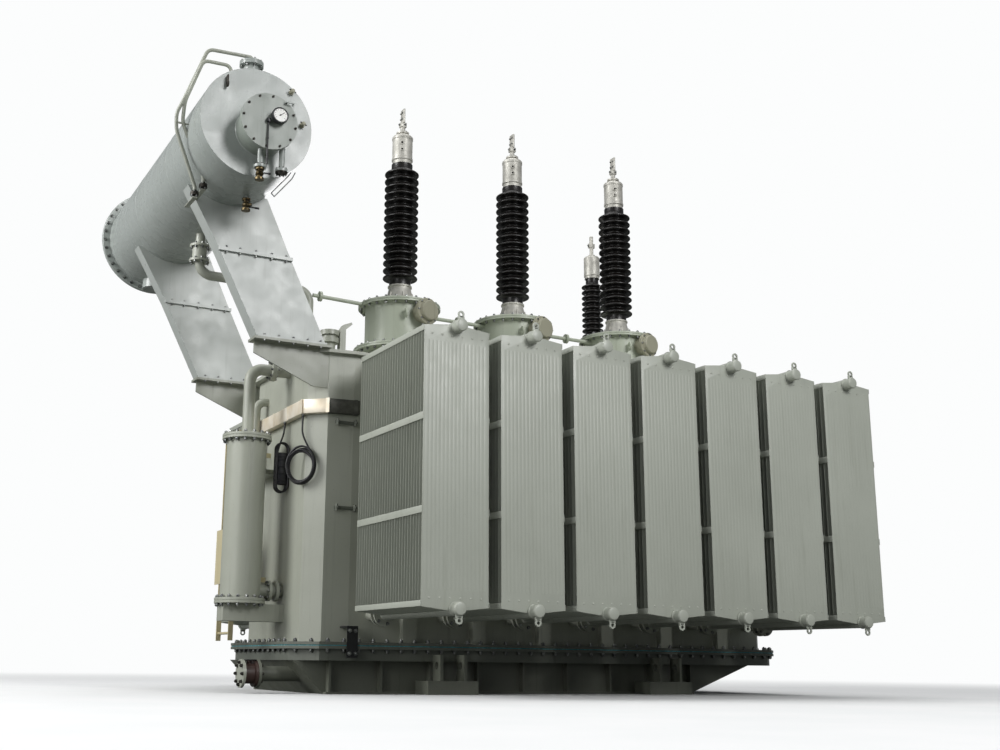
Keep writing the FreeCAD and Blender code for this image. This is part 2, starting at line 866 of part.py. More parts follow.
def make_breathers():
    """Two thin pipes from the top of the conservator, down its side to the near arm."""
    lid = conservator_z + conservator_radius + nozzle_height
    start_x = conservator_x + nozzle_shift
    near, far = breather_down_x
    first = [
        (start_x, nozzle_y, lid),
        (start_x, nozzle_y, lid + 50),
        (-3426, nozzle_y, lid + 32),
        (-3562, -1250, 4352),
        (-3598, -1200, 4270),
        (-3577, -1160, 4150),
        (near, breather_y, breather_end_z),
        (near, breather_y, breather_end_z - breather_tail),
    ]
    second = [
        (-3230, nozzle_y, 4500),
        (-3250, nozzle_y, breather_top_z),
        (-3457, nozzle_y, breather_top_z - 7),
        (-3547, -1250, 4356),
        (-3542, -1190, 4210),
        (far, breather_y, breather_end_z + breather_tail),
        (far, breather_y, breather_end_z - breather_tail),
    ]
    start, end = breather_tie
    shelf_top = breather_end_z - breather_tail
    front = -arm_y - arm_depth / 2
    shelf = box(*breather_shelf_x, breather_y - breather_shelf_reach, front,
                shelf_top - breather_shelf, shelf_top)
    pieces = [rod(breather_tie_radius, V(*start), V(*end)), shelf]
    for route in (first, second):
        pieces.append(bent_pipe(route, breather_radius, breather_bend))
        pieces.append(disc(breather_flange, breather_plate, *route[-1]))
    nodes["breather_pipes"] = join(pieces).cut(nodes["conservator_shell"])


def make_end_pipes():
    """Short drain pipes under the manhole neck, with brass valves."""
    neck_z = conservator_z - manhole_drop
    y = -conservator_length / 2 - end_pipe_setback
    pipes = []
    for x in end_pipe_x:
        pipe = disc(end_pipe_radius, neck_z - end_pipe_z, x, y, end_pipe_z)
        lid = disc(end_pipe_flange, end_pipe_plate, x, y, end_pipe_z)
        pipes.append(join([pipe, lid]).cut(nodes["conservator_manhole"]))
    nodes["conservator_end_pipes"] = Part.makeCompound(pipes)
    x = end_pipe_x[0]
    body, ring = end_cock
    foot = end_pipe_z - end_cock_height
    valve = join([
        disc(body, end_cock_height, x, y, foot),
        disc(ring, end_cock_ring, x, y, end_pipe_z - end_cock_ring),
        disc(ring, end_cock_ring, x, y, foot),
    ])
    x = drain_cock_x
    y = drain_cock_y
    body, ring = drain_cock
    bottom = conservator_z - conservator_radius
    foot = bottom - drain_cock_height
    length, width, thickness = drain_lever
    lever_z = bottom - drain_lever_drop
    stem = join([
        disc(body, drain_cock_height + boss_root, x, y, foot),
        disc(ring, drain_cock_ring, x, y, bottom - drain_cock_upper_ring),
        disc(ring, drain_cock_ring, x, y, foot),
        box(x, x + length, y - width / 2, y + width / 2, lever_z, lever_z + thickness),
    ])
    nodes["conservator_drain_cocks"] = Part.makeCompound([valve, stem.cut(nodes["conservator_shell"])])


def make_cover_fittings():
    """A flanged pocket and a hooded post at the end of the cover."""
    x, y = fitting_at
    neck, waist = fitting_neck
    first, second, third, top = fitting_levels
    profile = [
        (0, 0),
        (neck, 0),
        (neck, first),
        (fitting_flange, first),
        (fitting_flange, second),
        (waist, second),
        (waist, third),
        (fitting_flange, third),
        (fitting_flange, top),
        (0, top),
    ]
    pocket = lathe(profile, x, y, cover_top)
    x, y = post_at
    hood = side_plate([(x + out, cover_top + up) for out, up in post_outline], y - post_width / 2, post_width)
    nodes["cover_fittings"] = Part.makeCompound([pocket, hood])


def make_filter():
    x = filter_x
    y = filter_y
    profile = [
        (0, filter_bottom - filter_flange),
        (filter_flange_radius, filter_bottom - filter_flange),
        (filter_flange_radius, filter_bottom + filter_flange),
        (filter_radius, filter_bottom + filter_flange),
        (filter_radius, filter_top - filter_flange),
        (filter_flange_radius, filter_top - filter_flange),
        (filter_flange_radius, filter_top + filter_flange),
        (0, filter_top + filter_flange),
    ]
    nodes["oil_filter"] = lathe(profile, x, y, 0)
    wall = -tank_length / 2
    route = [
        (x, y, filter_top + filter_flange),
        (x, y, filter_pipe_top),
        (wall, y, filter_pipe_top),
    ]
    upper = [bent_pipe(route, filter_pipe_radius, filter_pipe_bend)]
    for step in filter_joint:
        upper.append(rod(filter_pipe_radius + filter_joint_overhang, V(wall - step, y, filter_pipe_top),
                         V(wall - step + filter_joint_plate, y, filter_pipe_top)))
    drum = disc(filter_radius, filter_top - filter_bottom, x, y, filter_bottom)
    lower = [rod(filter_pipe_radius, V(x, y, filter_low_z), V(wall, y, filter_low_z))]
    for step in filter_low_joint:
        lower.append(rod(filter_pipe_radius + filter_low_overhang, V(wall - step, y, filter_low_z),
                         V(wall - step + filter_low_plate, y, filter_low_z)))
    nodes["oil_filter_pipes"] = Part.makeCompound([join(upper), join(lower).cut(drum)])
    top = filter_bottom - filter_flange
    half = filter_beam_width / 2
    nodes["oil_filter_beam"] = box(filter_beam_end, wall, y - half, y + half, top - filter_beam, top)


def make_conduit():
    """A pipe that stands on a shelf at the tank end and turns into the wall above the duct."""
    wall = -tank_length / 2
    x, y = conduit_at
    low, high = conduit_shelf_z
    route = [
        (x, y, high),
        (x, y, conduit_top),
        (wall, y, conduit_top),
    ]
    shelf = box(wall - conduit_shelf_reach, wall, *conduit_shelf_y, low, high)
    nodes["wall_conduit"] = join([bent_pipe(route, conduit_radius, conduit_bend), shelf])


def make_ladder():
    depth, thickness = ladder_stile
    near, far = ladder_y
    pieces = []
    for y in ladder_y:
        y0 = y - thickness / 2
        y1 = y + thickness / 2
        pieces.append(box(ladder_x - depth / 2, ladder_x + depth / 2, y0, y1, ladder_foot, ladder_top))
        for z in ladder_stand:
            low = z - ladder_stand_height / 2
            pieces.append(box(ladder_x, -tank_length / 2, y0, y1, low, low + ladder_stand_height))
    span = ladder_top - ladder_foot - ladder_rung_start - ladder_rung_end
    rungs = round(span / ladder_rung_pitch)
    for i in range(rungs + 1):
        z = ladder_foot + ladder_rung_start + i * span / rungs
        pieces.append(rod(ladder_rung, V(ladder_x, near, z), V(ladder_x, far, z)))
    door_x = ladder_x - depth / 2 + ladder_door_bite
    pieces.append(box(door_x - ladder_door_plate, door_x, near - ladder_door_overhang[0],
                      far + ladder_door_overhang[1], *ladder_door))
    nodes["ladder"] = join(pieces)


def make_duct():
    """A flat steel cable duct that follows the tank end."""
    band = prism(tank_outline(duct_depth), duct_bottom, duct_height)
    band = band.cut(prism(tank_outline(0), duct_bottom - cut_over, duct_height + 2 * cut_over))
    keep = box(-tank_length, duct_front_x, -tank_width, duct_end_y, 0, cover_top)
    pieces = [band.common(keep)]
    for x, y, z in (cable_route[0], hank_route[0]):
        pieces.append(disc(gland_radius, gland_length + gland_root, x, y, z))
    nodes["cable_duct"] = join(pieces)


def make_cables():
    cx, cy, cz = coil_centre
    turn = math.radians(coil_turn)
    axis = V(-math.cos(turn), -math.sin(turn), 0)
    start = V(cx, cy, cz) - axis * (coil_width / 2)
    nodes["cable_coil"] = long_round(coil_outer, start, axis).cut(long_round(coil_inner, start, axis))
    nodes["cable_drop"] = cord_tube(cable_route)
    nodes["hank_drop"] = cord_tube(hank_route)
    hx, hy = hank_centre
    low, high = hank_z
    nodes["cable_hank"] = box(hx - hank_width / 2, hx + hank_width / 2, hy - hank_thickness / 2,
                              hy + hank_thickness / 2, low, high)


def long_round(radius, start, axis):
    """Two half rounds, one above the other, with straight sides between."""
    level = axis.cross(Z) * radius
    lift = Z * coil_stretch
    ring = [start - level - lift, start + level - lift, start + level + lift, start - level + lift]
    sides = Part.Face(Part.makePolygon(ring + ring[:1])).extrude(axis * coil_width)
    ends = [Part.makeCylinder(radius, coil_width, start + move, axis) for move in (lift, -lift)]
    return join([sides] + ends)


def cord_tube(route):
    """A cable along its route, each arc as large as its two runs allow."""
    points = [V(*p) for p in route]
    edges = []
    start = points[0]
    length = 0
    for before, corner, after in zip(points, points[1:], points[2:]):
        into = (corner - before).normalize()
        out = (after - corner).normalize()
        half = into.getAngle(out) / 2
        shorter = min(corner.distanceToPoint(before), corner.distanceToPoint(after))
        cut = 0.45 * shorter
        radius = cut / math.tan(half)
        print("cable arc radius", round(radius))
        first = corner - into * cut
        last = corner + out * cut
        inward = (out - into).normalize()
        middle = corner + inward * (radius / math.cos(half) - radius)
        edges.append(Part.LineSegment(start, first).toShape())
        edges.append(Part.Arc(first, middle, last).toShape())
        start = last
    edges.append(Part.LineSegment(start, points[-1]).toShape())
    path = Part.Wire(edges)
    ring = Part.Wire(Part.makeCircle(cable_radius, points[0], points[1] - points[0]))
    tube = path.makePipeShell([ring], True, False)
    section = math.pi * cable_radius ** 2
    print("cable length", round(path.Length), "volume share", tube.Volume / (section * path.Length))
    return tube


def make_drain():
    """A drain pipe out of the base, with a valve and a blank flange."""
    y = drain_y
    z = drain_z
    valve_end = drain_end_x + drain_flange + drain_valve_length
    inlet = base_left - base_left_slope * z / pan_bottom
    body = join([
        rod(drain_pipe_radius, V(valve_end + drain_flange, y, z), V(inlet + drain_root, y, z)),
        rod(drain_flange_radius, V(valve_end, y, z), V(valve_end + drain_flange, y, z)),
    ])
    nodes["drain_pipe"] = body.cut(nodes["base_frame"])
    inset, plate = drain_valve_flange
    start = drain_end_x + drain_flange
    nodes["drain_valve"] = join([
        rod(drain_pipe_radius + drain_valve_overhang, V(start, y, z), V(valve_end, y, z)),
        rod(drain_flange_radius - inset, V(valve_end - plate, y, z), V(valve_end, y, z)),
        disc(drain_bonnet_radius, drain_bonnet_height, (start + valve_end) / 2, y, z),
    ])
    nodes["drain_blank_flange"] = rod(drain_flange_radius, V(drain_end_x, y, z), V(start, y, z))


def make_ground_bar():
    front = front_wall - flange_overhang
    low, high = ground_bar_z
    left, right = ground_bar_x
    bar = box(left, right, front - ground_bar_thickness, front, low, high)
    shelf = box(left, right, front, front_wall + corner_lean, high - ground_bar_shelf, high)
    nodes["ground_bar"] = join([bar, shelf.cut(nodes["tank_body"])])


def save():
    os.makedirs("parts", exist_ok=True)
    for name, shape in nodes.items():
        shape.exportStep("parts/%s.step" % name)
        print(name, "valid" if shape.isValid() else "BROKEN", round(shape.Volume / 1e9, 4))


make_tank()
make_stiffeners()
make_base()
make_pads()
make_radiators()
make_valves()
make_turrets()
make_bushings()
make_low_voltage()
make_conservator()
make_arms()
make_oil_pipe()
make_gas_pipe()
make_breathers()
make_end_pipes()
make_cover_fittings()
make_filter()
make_conduit()
make_ladder()
make_duct()
make_cables()
make_drain()
make_ground_bar()
save()
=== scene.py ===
import math
import bpy
import bmesh
from mathutils import Matrix, Vector


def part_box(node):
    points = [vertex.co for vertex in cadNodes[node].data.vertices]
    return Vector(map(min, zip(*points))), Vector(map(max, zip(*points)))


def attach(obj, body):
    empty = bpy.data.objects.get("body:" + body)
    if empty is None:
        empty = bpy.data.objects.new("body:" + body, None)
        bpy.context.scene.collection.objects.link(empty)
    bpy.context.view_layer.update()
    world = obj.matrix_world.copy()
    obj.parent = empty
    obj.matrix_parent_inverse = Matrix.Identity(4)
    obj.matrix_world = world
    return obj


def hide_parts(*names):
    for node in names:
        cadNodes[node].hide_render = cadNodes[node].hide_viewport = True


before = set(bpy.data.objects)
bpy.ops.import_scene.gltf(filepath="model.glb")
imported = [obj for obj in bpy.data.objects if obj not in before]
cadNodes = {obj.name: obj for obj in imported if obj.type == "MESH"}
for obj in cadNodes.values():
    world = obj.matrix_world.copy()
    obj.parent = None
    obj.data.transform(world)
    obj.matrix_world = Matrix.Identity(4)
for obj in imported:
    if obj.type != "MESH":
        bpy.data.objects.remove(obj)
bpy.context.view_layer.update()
alongX = Vector((1, 0, 0))
alongY = Vector((0, 1, 0))
alongZ = Vector((0, 0, 1))
towardsViewer = Vector((0, -1, 0))


# small tools shared by all pieces

def deselectAll():
    for other in bpy.context.selected_objects:
        other.select_set(False)
    bpy.context.view_layer.objects.active = None


def pick(piece):
    deselectAll()
    piece.select_set(True)
    bpy.context.view_layer.objects.active = piece


def selectFaces(piece, wanted):
    # edit mode is on; wanted says yes or no for each face
    bpy.ops.mesh.select_mode(type="FACE")
    mesh = bmesh.from_edit_mesh(piece.data)
    for face in mesh.faces:
        face.select_set(bool(wanted(face)))
    bmesh.update_edit_mesh(piece.data)


def selectPoints(piece, wanted):
    bpy.ops.mesh.select_mode(type="VERT")
    mesh = bmesh.from_edit_mesh(piece.data)
    for point in mesh.verts:
        point.select_set(bool(wanted(point.co)))
    mesh.select_flush_mode()
    bmesh.update_edit_mesh(piece.data)


def bakePlace(piece):
    pick(piece)
    bpy.ops.object.transform_apply(location=True, rotation=True, scale=True)
    return piece


def paint(piece, finish):
    piece.data.materials.clear()
    piece.data.materials.append(finishes[finish])
    return piece


def bevelEdges(piece, width, segments=2, limit=40):
    pick(piece)
    bpy.ops.object.modifier_add(type="BEVEL")
    modifier = piece.modifiers[-1]
    modifier.width = width
    modifier.segments = segments
    modifier.limit_method = "ANGLE"
    modifier.angle_limit = math.radians(limit)
    bpy.ops.object.modifier_apply(modifier=modifier.name)
    return piece


def repeatAlong(piece, step, count):
    pick(piece)
    bpy.ops.object.modifier_add(type="ARRAY")
    modifier = piece.modifiers[-1]
    modifier.count = count
    modifier.use_relative_offset = False
    modifier.use_constant_offset = True
    modifier.constant_offset_displace = step
    bpy.ops.object.modifier_apply(modifier=modifier.name)
    return piece


def addRod(start, end, radius, sides=32, bevel=0.0):
    start = Vector(start)
    end = Vector(end)
    run = end - start
    deselectAll()
    bpy.ops.mesh.primitive_cylinder_add(vertices=sides, radius=radius, depth=run.length,
                                        location=(start + end) / 2,
                                        rotation=alongZ.rotation_difference(run).to_euler())
    piece = bakePlace(bpy.context.active_object)
    if bevel:
        bevelEdges(piece, bevel, 2, 50)
    return piece


def addBlock(low, high, bevel=0.0):
    low = Vector(low)
    high = Vector(high)
    deselectAll()
    bpy.ops.mesh.primitive_cube_add(size=1, location=(low + high) / 2, scale=high - low)
    piece = bakePlace(bpy.context.active_object)
    if bevel:
        bevelEdges(piece, bevel)
    return piece


def joinParts(name, parts):
    deselectAll()
    for part in parts:
        part.select_set(True)
    bpy.context.view_layer.objects.active = parts[0]
    if len(parts) > 1:
        bpy.ops.object.join()
    piece = bpy.context.active_object
    piece.name = name
    piece.data.name = name
    return piece


def startChain(points):
    # one point, extruded from place to place; edit mode stays on
    deselectAll()
    bpy.ops.mesh.primitive_plane_add(size=0.002)
    piece = bpy.context.active_object
    bpy.ops.object.mode_set(mode="EDIT")
    bpy.ops.mesh.select_mode(type="VERT")
    bpy.ops.mesh.select_all(action="SELECT")
    bpy.ops.mesh.merge(type="CENTER")
    bpy.ops.transform.translate(value=points[0])
    for before, after in zip(points, points[1:]):
        step = tuple(b - a for a, b in zip(before, after))
        bpy.ops.mesh.extrude_region_move(TRANSFORM_OT_translate={"value": step})
    bpy.ops.mesh.select_all(action="SELECT")
    return piece


def faceOutwards(piece, weld=None):
    # turns every face outwards; points nearer to each other than weld are joined first
    pick(piece)
    bpy.ops.object.mode_set(mode="EDIT")
    bpy.ops.mesh.select_all(action="SELECT")
    if weld:
        bpy.ops.mesh.remove_doubles(threshold=weld)
    bpy.ops.mesh.normals_make_consistent(inside=False)
    bpy.ops.object.mode_set(mode="OBJECT")
    return piece


def spinProfile(profile, centre=(0, 0, 0), axis=alongZ, steps=48):
    # a chain of (radius, height) points, spun about the axis
    piece = startChain([(radius, 0, height) for radius, height in profile])
    bpy.ops.mesh.spin(steps=steps, angle=2 * math.pi, center=(0, 0, 0), axis=(0, 0, 1))
    bpy.ops.object.mode_set(mode="OBJECT")
    faceOutwards(piece, 0.00002)
    piece.rotation_euler = alongZ.rotation_difference(Vector(axis)).to_euler()
    piece.location = centre
    return bakePlace(piece)


def slide(piece, move):
    piece.location = Vector(piece.location) + Vector(move)
    return bakePlace(piece)


def copyOf(piece, move=(0, 0, 0)):
    pick(piece)
    bpy.ops.object.duplicate()
    twin = bpy.context.active_object
    twin.location = Vector(twin.location) + Vector(move)
    return bakePlace(twin)


def mirrored(piece, place=(0, 0, 0)):
    # a copy turned over to the other long side
    twin = copyOf(piece)
    twin.scale = (1, -1, 1)
    twin.location = place
    return faceOutwards(bakePlace(twin))


def finishPiece(piece, stands=(), smooth=35):
    bakePlace(piece)
    if piece.type == "MESH":
        bpy.ops.object.shade_smooth_by_angle(angle=math.radians(smooth))
    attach(piece, "root")
    if stands:
        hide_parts(*stands)
    return piece


# camera and stage

cameraSet = {
    "place": (-5.632, -9.701, 0.23),
    "turn": 26.82,            # degrees from +Y towards +X
    "pitch": 13.37,
    "roll": 0.63,
    "lens": 43.79,
    "shiftX": 0.06,
}


def makeCamera():
    turn, pitch, roll = (math.radians(cameraSet[key]) for key in ("turn", "pitch", "roll"))
    forward = Vector((math.sin(turn) * math.cos(pitch), math.cos(turn) * math.cos(pitch), math.sin(pitch)))
    level = Vector((math.cos(turn), -math.sin(turn), 0))
    above = level.cross(forward)
    right = level * math.cos(roll) + above * math.sin(roll)
    top = above * math.cos(roll) - level * math.sin(roll)
    deselectAll()
    bpy.ops.object.camera_add()
    camera = bpy.context.active_object
    camera.matrix_world = Matrix((right, top, -forward)).transposed().to_4x4()
    camera.location = cameraSet["place"]
    camera.data.lens = cameraSet["lens"]
    camera.data.shift_x = cameraSet["shiftX"]
    camera.data.clip_end = 400
    bpy.context.scene.camera = camera


makeCamera()
print("camera placed")


# materials

def linearColour(text):
    # sRGB hex to the linear colour that the shader reads
    shares = [int(text[i:i + 2], 16) / 255 for i in (0, 2, 4)]
    return tuple(v / 12.92 if v <= 0.04045 else ((v + 0.055) / 1.055) ** 2.4 for v in shares) + (1.0,)


def addNode(tree, kind, settings=None, inputs=None):
    node = tree.nodes.new(kind)
    for key, value in (settings or {}).items():
        setattr(node, key, value)
    for key, value in (inputs or {}).items():
        if isinstance(value, bpy.types.NodeSocket):
            tree.links.new(value, node.inputs[key])
        else:
            node.inputs[key].default_value = value
    return node


def startMaterial(name, **constants):
    material = bpy.data.materials.new(name)
    material.use_nodes = True
    tree = material.node_tree
    shader = tree.nodes["Principled BSDF"]
    for key, value in constants.items():
        shader.inputs[key.replace("_", " ")].default_value = value
    place = addNode(tree, "ShaderNodeTexCoord").outputs["Object"]
    return material, tree, shader, place


def noiseAt(tree, place, size, detail=3, squeeze=(1, 1, 1), roughness=0.5):
    # size is the width of one patch in metres
    squeezed = addNode(tree, "ShaderNodeMapping", None, {"Vector": place, "Scale": squeeze}).outputs["Vector"]
    node = addNode(tree, "ShaderNodeTexNoise", None,
                   {"Vector": squeezed, "Scale": 1 / size, "Detail": detail, "Roughness": roughness})
    return node.outputs["Fac"]


def blendColours(tree, share, first, second, low=0.35, high=0.65, mode="MIX"):
    ramp = addNode(tree, "ShaderNodeMapRange", None,
                   {"Value": share, "From Min": low, "From Max": high}).outputs["Result"]
    mix = addNode(tree, "ShaderNodeMix", {"data_type": "RGBA", "blend_type": mode})
    tree.links.new(ramp, mix.inputs[0])
    for index, colour in ((6, first), (7, second)):
        if isinstance(colour, bpy.types.NodeSocket):
            tree.links.new(colour, mix.inputs[index])
        else:
            mix.inputs[index].default_value = colour
    return mix.outputs[2]


def spread(tree, share, low, high, fromLow=0.3, fromHigh=0.7):
    return addNode(tree, "ShaderNodeMapRange", None,
                   {"Value": share, "From Min": fromLow, "From Max": fromHigh, "To Min": low, "To Max": high}
                   ).outputs["Result"]


def bumpFrom(tree, shader, heights):
    # heights: (socket, depth in metres), laid one over the other
    normal = None
    for socket, depth in heights:
        inputs = {"Height": socket, "Distance": depth, "Strength": 1.0}
        if normal is not None:
            inputs["Normal"] = normal
        normal = addNode(tree, "ShaderNodeBump", None, inputs).outputs["Normal"]
    tree.links.new(normal, shader.inputs["Normal"])


def enamelPaint(name, light, dark, grime, roughness=0.4, wave=0.0016):
    # two-pack polyurethane enamel, sprayed on welded steel plate: a soft sheen that wavers with the plate,
    # faint orange peel, rain streaks, and specks of dirt
    material, tree, shader, place = startMaterial(name, IOR=1.5, Coat_Weight=0.12, Coat_Roughness=0.25)
    drift = noiseAt(tree, place, 0.9, 3)
    colour = blendColours(tree, drift, linearColour(light), linearColour(dark), 0.3, 0.7)
    # streaks 40 mm wide run down the walls
    streaks = noiseAt(tree, place, 0.04, 4, (1, 1, 0.05), 0.6)
    colour = blendColours(tree, streaks, colour, linearColour(grime), 0.56, 1.15)
    # specks of dirt 15 mm across
    specks = noiseAt(tree, place, 0.015, 2)
    colour = blendColours(tree, specks, colour, linearColour(grime), 0.66, 1.1)
    tree.links.new(colour, shader.inputs["Base Color"])
    tree.links.new(spread(tree, noiseAt(tree, place, 0.12, 3), roughness - 0.07, roughness + 0.09),
                   shader.inputs["Roughness"])
    # plate waviness of 0.45 m, and orange peel drawn at 10 mm, coarser than the real 2 mm, so that it shows
    bumpFrom(tree, shader, [(noiseAt(tree, place, 0.45, 1), wave * 4),
                            (noiseAt(tree, place, 0.010, 2), 0.00025)])
    return material


def cloudedFinish(name, light, dark, clouds, gloss, rough, bump=None, **constants):
    # clouds, gloss: width of a patch in metres, and its detail; bump: the same, and its depth in metres
    material, tree, shader, place = startMaterial(name, **constants)
    colour = blendColours(tree, noiseAt(tree, place, *clouds), linearColour(light), linearColour(dark))
    tree.links.new(colour, shader.inputs["Base Color"])
    tree.links.new(spread(tree, noiseAt(tree, place, *gloss), *rough), shader.inputs["Roughness"])
    if bump:
        bumpFrom(tree, shader, [(noiseAt(tree, place, *bump[:-1]), bump[-1])])
    return material


finishes = {
    "grey": enamelPaint("greyEnamel", "AEB1A5", "9FA295", "74756A"),
    "radiator": enamelPaint("radiatorEnamel", "B4B8AD", "AAAEA3", "919487", 0.42, 0.0004),
    "pale": enamelPaint("conservatorEnamel", "A9AFAB", "9DA39F", "7E8379", 0.27, 0.0008),
    "arm": enamelPaint("armEnamel", "B9BEBA", "A9AEAA", "8A8D84", 0.34, 0.0022),
    "turret": enamelPaint("turretEnamel", "BEC5B3", "AEB5A4", "80846F"),
    # the manhole cover gets a darker copy of the conservator enamel: painted shade
    "hatch": enamelPaint("hatchEnamel", "939A93", "889087", "6A6E66"),
    # the arm gussets get a darker copy of the arm enamel: painted shade
    "bracket": enamelPaint("bracketEnamel", "9A9D91", "8C8F83", "6A6B60"),
    "olive": enamelPaint("oliveEnamel", "AEAC97", "9D9B88", "6E6E60"),
    # the base frame, pads, lugs and drain pipe get a darker enamel: painted shade under the tank
    "shade": enamelPaint("baseEnamel", "777A6E", "66695E", "45463C", 0.5),
    # the joint flanges, the lower pan and the wall clips get a darker enamel; on the lower pan under the tank
    # it is painted shade
    "flange": enamelPaint("jointEnamel", "6E7268", "5C6058", "3C3E36", 0.45),
    "tan": enamelPaint("tanEnamel", "D2C7A2", "C2B792", "8E866C", 0.45),
    "black": enamelPaint("blackEnamel", "17181A", "202122", "2C2C2A", 0.4),
    "red": enamelPaint("redOxideEnamel", "4E3A34", "3C2C27", "2A221E", 0.5),
    # brown glazed porcelain, fired: near black, clouded between two dark browns, with a wet gloss
    "porcelain": cloudedFinish("brownGlazedPorcelain", "0A0807", "15100D", (0.05, 3), (0.03, 3), (0.30, 0.44),
                               (0.02, 2, 0.0003), IOR=1.5, Coat_Weight=0.15, Coat_Roughness=0.2),
    # sand-cast aluminium, fettled: pale and matt; its grain is drawn 6 mm wide, coarser than sand, to show
    "aluminium": cloudedFinish("castAluminium", "D0CEC6", "B4B2AA", (0.06, 4), (0.02, 3), (0.42, 0.60),
                               (0.006, 3, 0.0003), Metallic=0.35),
    # hot-dip galvanised bolts: dull silver with a cloudy bloom
    "zinc": cloudedFinish("galvanisedSteel", "A6A8A4", "5F6163", (0.025, 3), (0.01, 2), (0.3, 0.5),
                          Metallic=1.0),
    # oiled black iron on valve flanges and levers
    "iron": cloudedFinish("oiledIron", "2B2A28", "4A4640", (0.02, 3), (0.01, 2), (0.42, 0.62), Metallic=0.6),
    # cold-rolled stainless sheet, folded: its bright warm colour, with little metal in the shader, is a
    # painted reflection;
    # the grain along the duct is drawn 8 mm wide, coarser than the real 0.1 mm, so that it shows
    "stainless": cloudedFinish("rolledStainless", "F6EEDF", "E4D6BC", (0.16, 3), (0.008, 3, (0.05, 0.05, 1)),
                               (0.34, 0.44), (0.25, 1, 0.004), Metallic=0.3),
    # the same stainless duct where it runs along the long wall: a dark copy that is painted shade, with
    # cloudy patches
    "shadedStainless": cloudedFinish("dullSteelSheet", "66665F", "44443F", (0.08, 4), (0.03, 3), (0.38, 0.52),
                               (0.25, 1, 0.003), Metallic=0.5),
    # cast brass valve bodies, turned on their seats: warm, clouded with dark patches
    "brass": cloudedFinish("castBrass", "7A6C4E", "3A342A", (0.02, 4), (0.012, 3), (0.3, 0.5),
                           (0.008, 2, 0.0003), Metallic=1.0),
    # cork-filled nitrile rubber strip, cut: turquoise, dull, with a crumbly edge
    "gasket": cloudedFinish("nitrileGasket", "6FB6BC", "3F8E97", (0.03, 4), (0.01, 3), (0.65, 0.85),
                            (0.006, 3, 0.0006), IOR=1.5),
    # extruded black PVC, a little uneven, with a soft shine
    "sheath": cloudedFinish("blackPvcSheath", "141416", "232226", (0.05, 3), (0.02, 3), (0.34, 0.5),
                            (0.004, 2, 0.0002), IOR=1.5),
    # calendered vinyl tape, stretched as it is wound: a soft blue shine, and fine pulls along the wrap
    "tape": cloudedFinish("blackVinylTape", "101014", "1C1C24", (0.03, 3), (0.02, 3, (1, 1, 6)), (0.32, 0.5),
                          (0.02, 3, (1, 1, 6), 0.0012), IOR=1.5, Coat_Weight=0.15, Coat_Roughness=0.3),
    # moulded plastic with a fine spark-eroded grain
    "case": cloudedFinish("dialCasePlastic", "2A2D2F", "1F2123", (0.03, 3), (0.004, 2), (0.28, 0.42),
                          (0.003, 2, 0.0001), IOR=1.49),
    # screen-printed enamel of the dial's face
    "face": cloudedFinish("dialFaceEnamel", "F2F2EE", "E6E6E0", (0.03, 3), (0.004, 2), (0.25, 0.35),
                          (0.003, 2, 0.0001), IOR=1.49),
}
print("materials made")


# cables left coiled under the duct

cableSet = {
    "radius": 0.0075,
    "coilRoute": [(-2.305, -0.705, 2.140), (-2.309, -0.707, 2.064), (-2.306, -0.711, 1.986)],
    "coilMiddle": (-2.312, -0.712, 1.745),
    "coilTurn": 45,              # degrees, the way that the coil's axis points
    "coilStart": 128,            # degrees round the coil where the drop runs in
    "coilRadii": (0.122, 0.129, 0.112, 0.124, 0.106, 0.118, 0.101),
    "coilStretch": (0.020, 0.030, 0.012, 0.036, 0.004, 0.026, 0.010),
    "coilAcross": (-0.016, 0.0, 0.016, 0.016, 0.0, -0.016, -0.005),
    "pointsPerTurn": 16,
    "hankRoute": [(-2.318, -0.320, 2.140), (-2.322, -0.322, 2.092), (-2.331, -0.319, 2.040)],
    "hankMiddle": (-2.334, -0.320),
    "hankHigh": 1.985,
    "hankLow": 1.578,
    "hankRadius": 0.049,
    "hankAcross": (-0.028, -0.0095, 0.0095, 0.028),
    "wrapLow": 1.640,
    "wrapHigh": 1.900,
}


def between(values, place):
    # the value at a place part way along a list
    index = min(int(place), len(values) - 2)
    share = place - index
    return values[index] * (1 - share) + values[index + 1] * share


def coilPoints():
    # turns that swell and hang unevenly, as left on a hook
    turn = math.radians(cableSet["coilTurn"])
    axis = Vector((-math.cos(turn), -math.sin(turn), 0))
    side = axis.cross(alongZ)
    points = []
    count = (len(cableSet["coilRadii"]) - 1) * cableSet["pointsPerTurn"]
    for step in range(count + 1):
        place = step / cableSet["pointsPerTurn"]
        angle = math.radians(cableSet["coilStart"]) + place * 2 * math.pi
        radius = between(cableSet["coilRadii"], place)
        tall = radius + between(cableSet["coilStretch"], place)
        points.append(Vector(cableSet["coilMiddle"]) + axis * between(cableSet["coilAcross"], place)
                      + side * radius * math.cos(angle) + alongZ * tall * math.sin(angle))
    return points


def hankPoints():
    # long flat loops, folded over and over in line with the drop
    points = []
    x, y = cableSet["hankMiddle"]
    radius = cableSet["hankRadius"]
    high = cableSet["hankHigh"] - radius
    low = cableSet["hankLow"] + radius
    across = cableSet["hankAcross"]
    for index, here in enumerate(across):
        following = across[min(index + 1, len(across) - 1)]
        for share in (0.08, 0.36, 0.68):
            points.append(Vector((x - radius, y + here, high + (low - high) * share)))
        for step in range(7):
            angle = math.pi + step * math.pi / 6
            points.append(Vector((x + radius * math.cos(angle), y + here, low + radius * math.sin(angle))))
        for share in (0.33, 0.66):
            points.append(Vector((x + radius, y + here, low + (high - low) * share)))
        if index == len(across) - 1:
            break
        for step in range(7):
            angle = step * math.pi / 6
            place = here + (following - here) * step / 6
            points.append(Vector((x + radius * math.cos(angle), y + place, high + radius * math.sin(angle))))
    return points


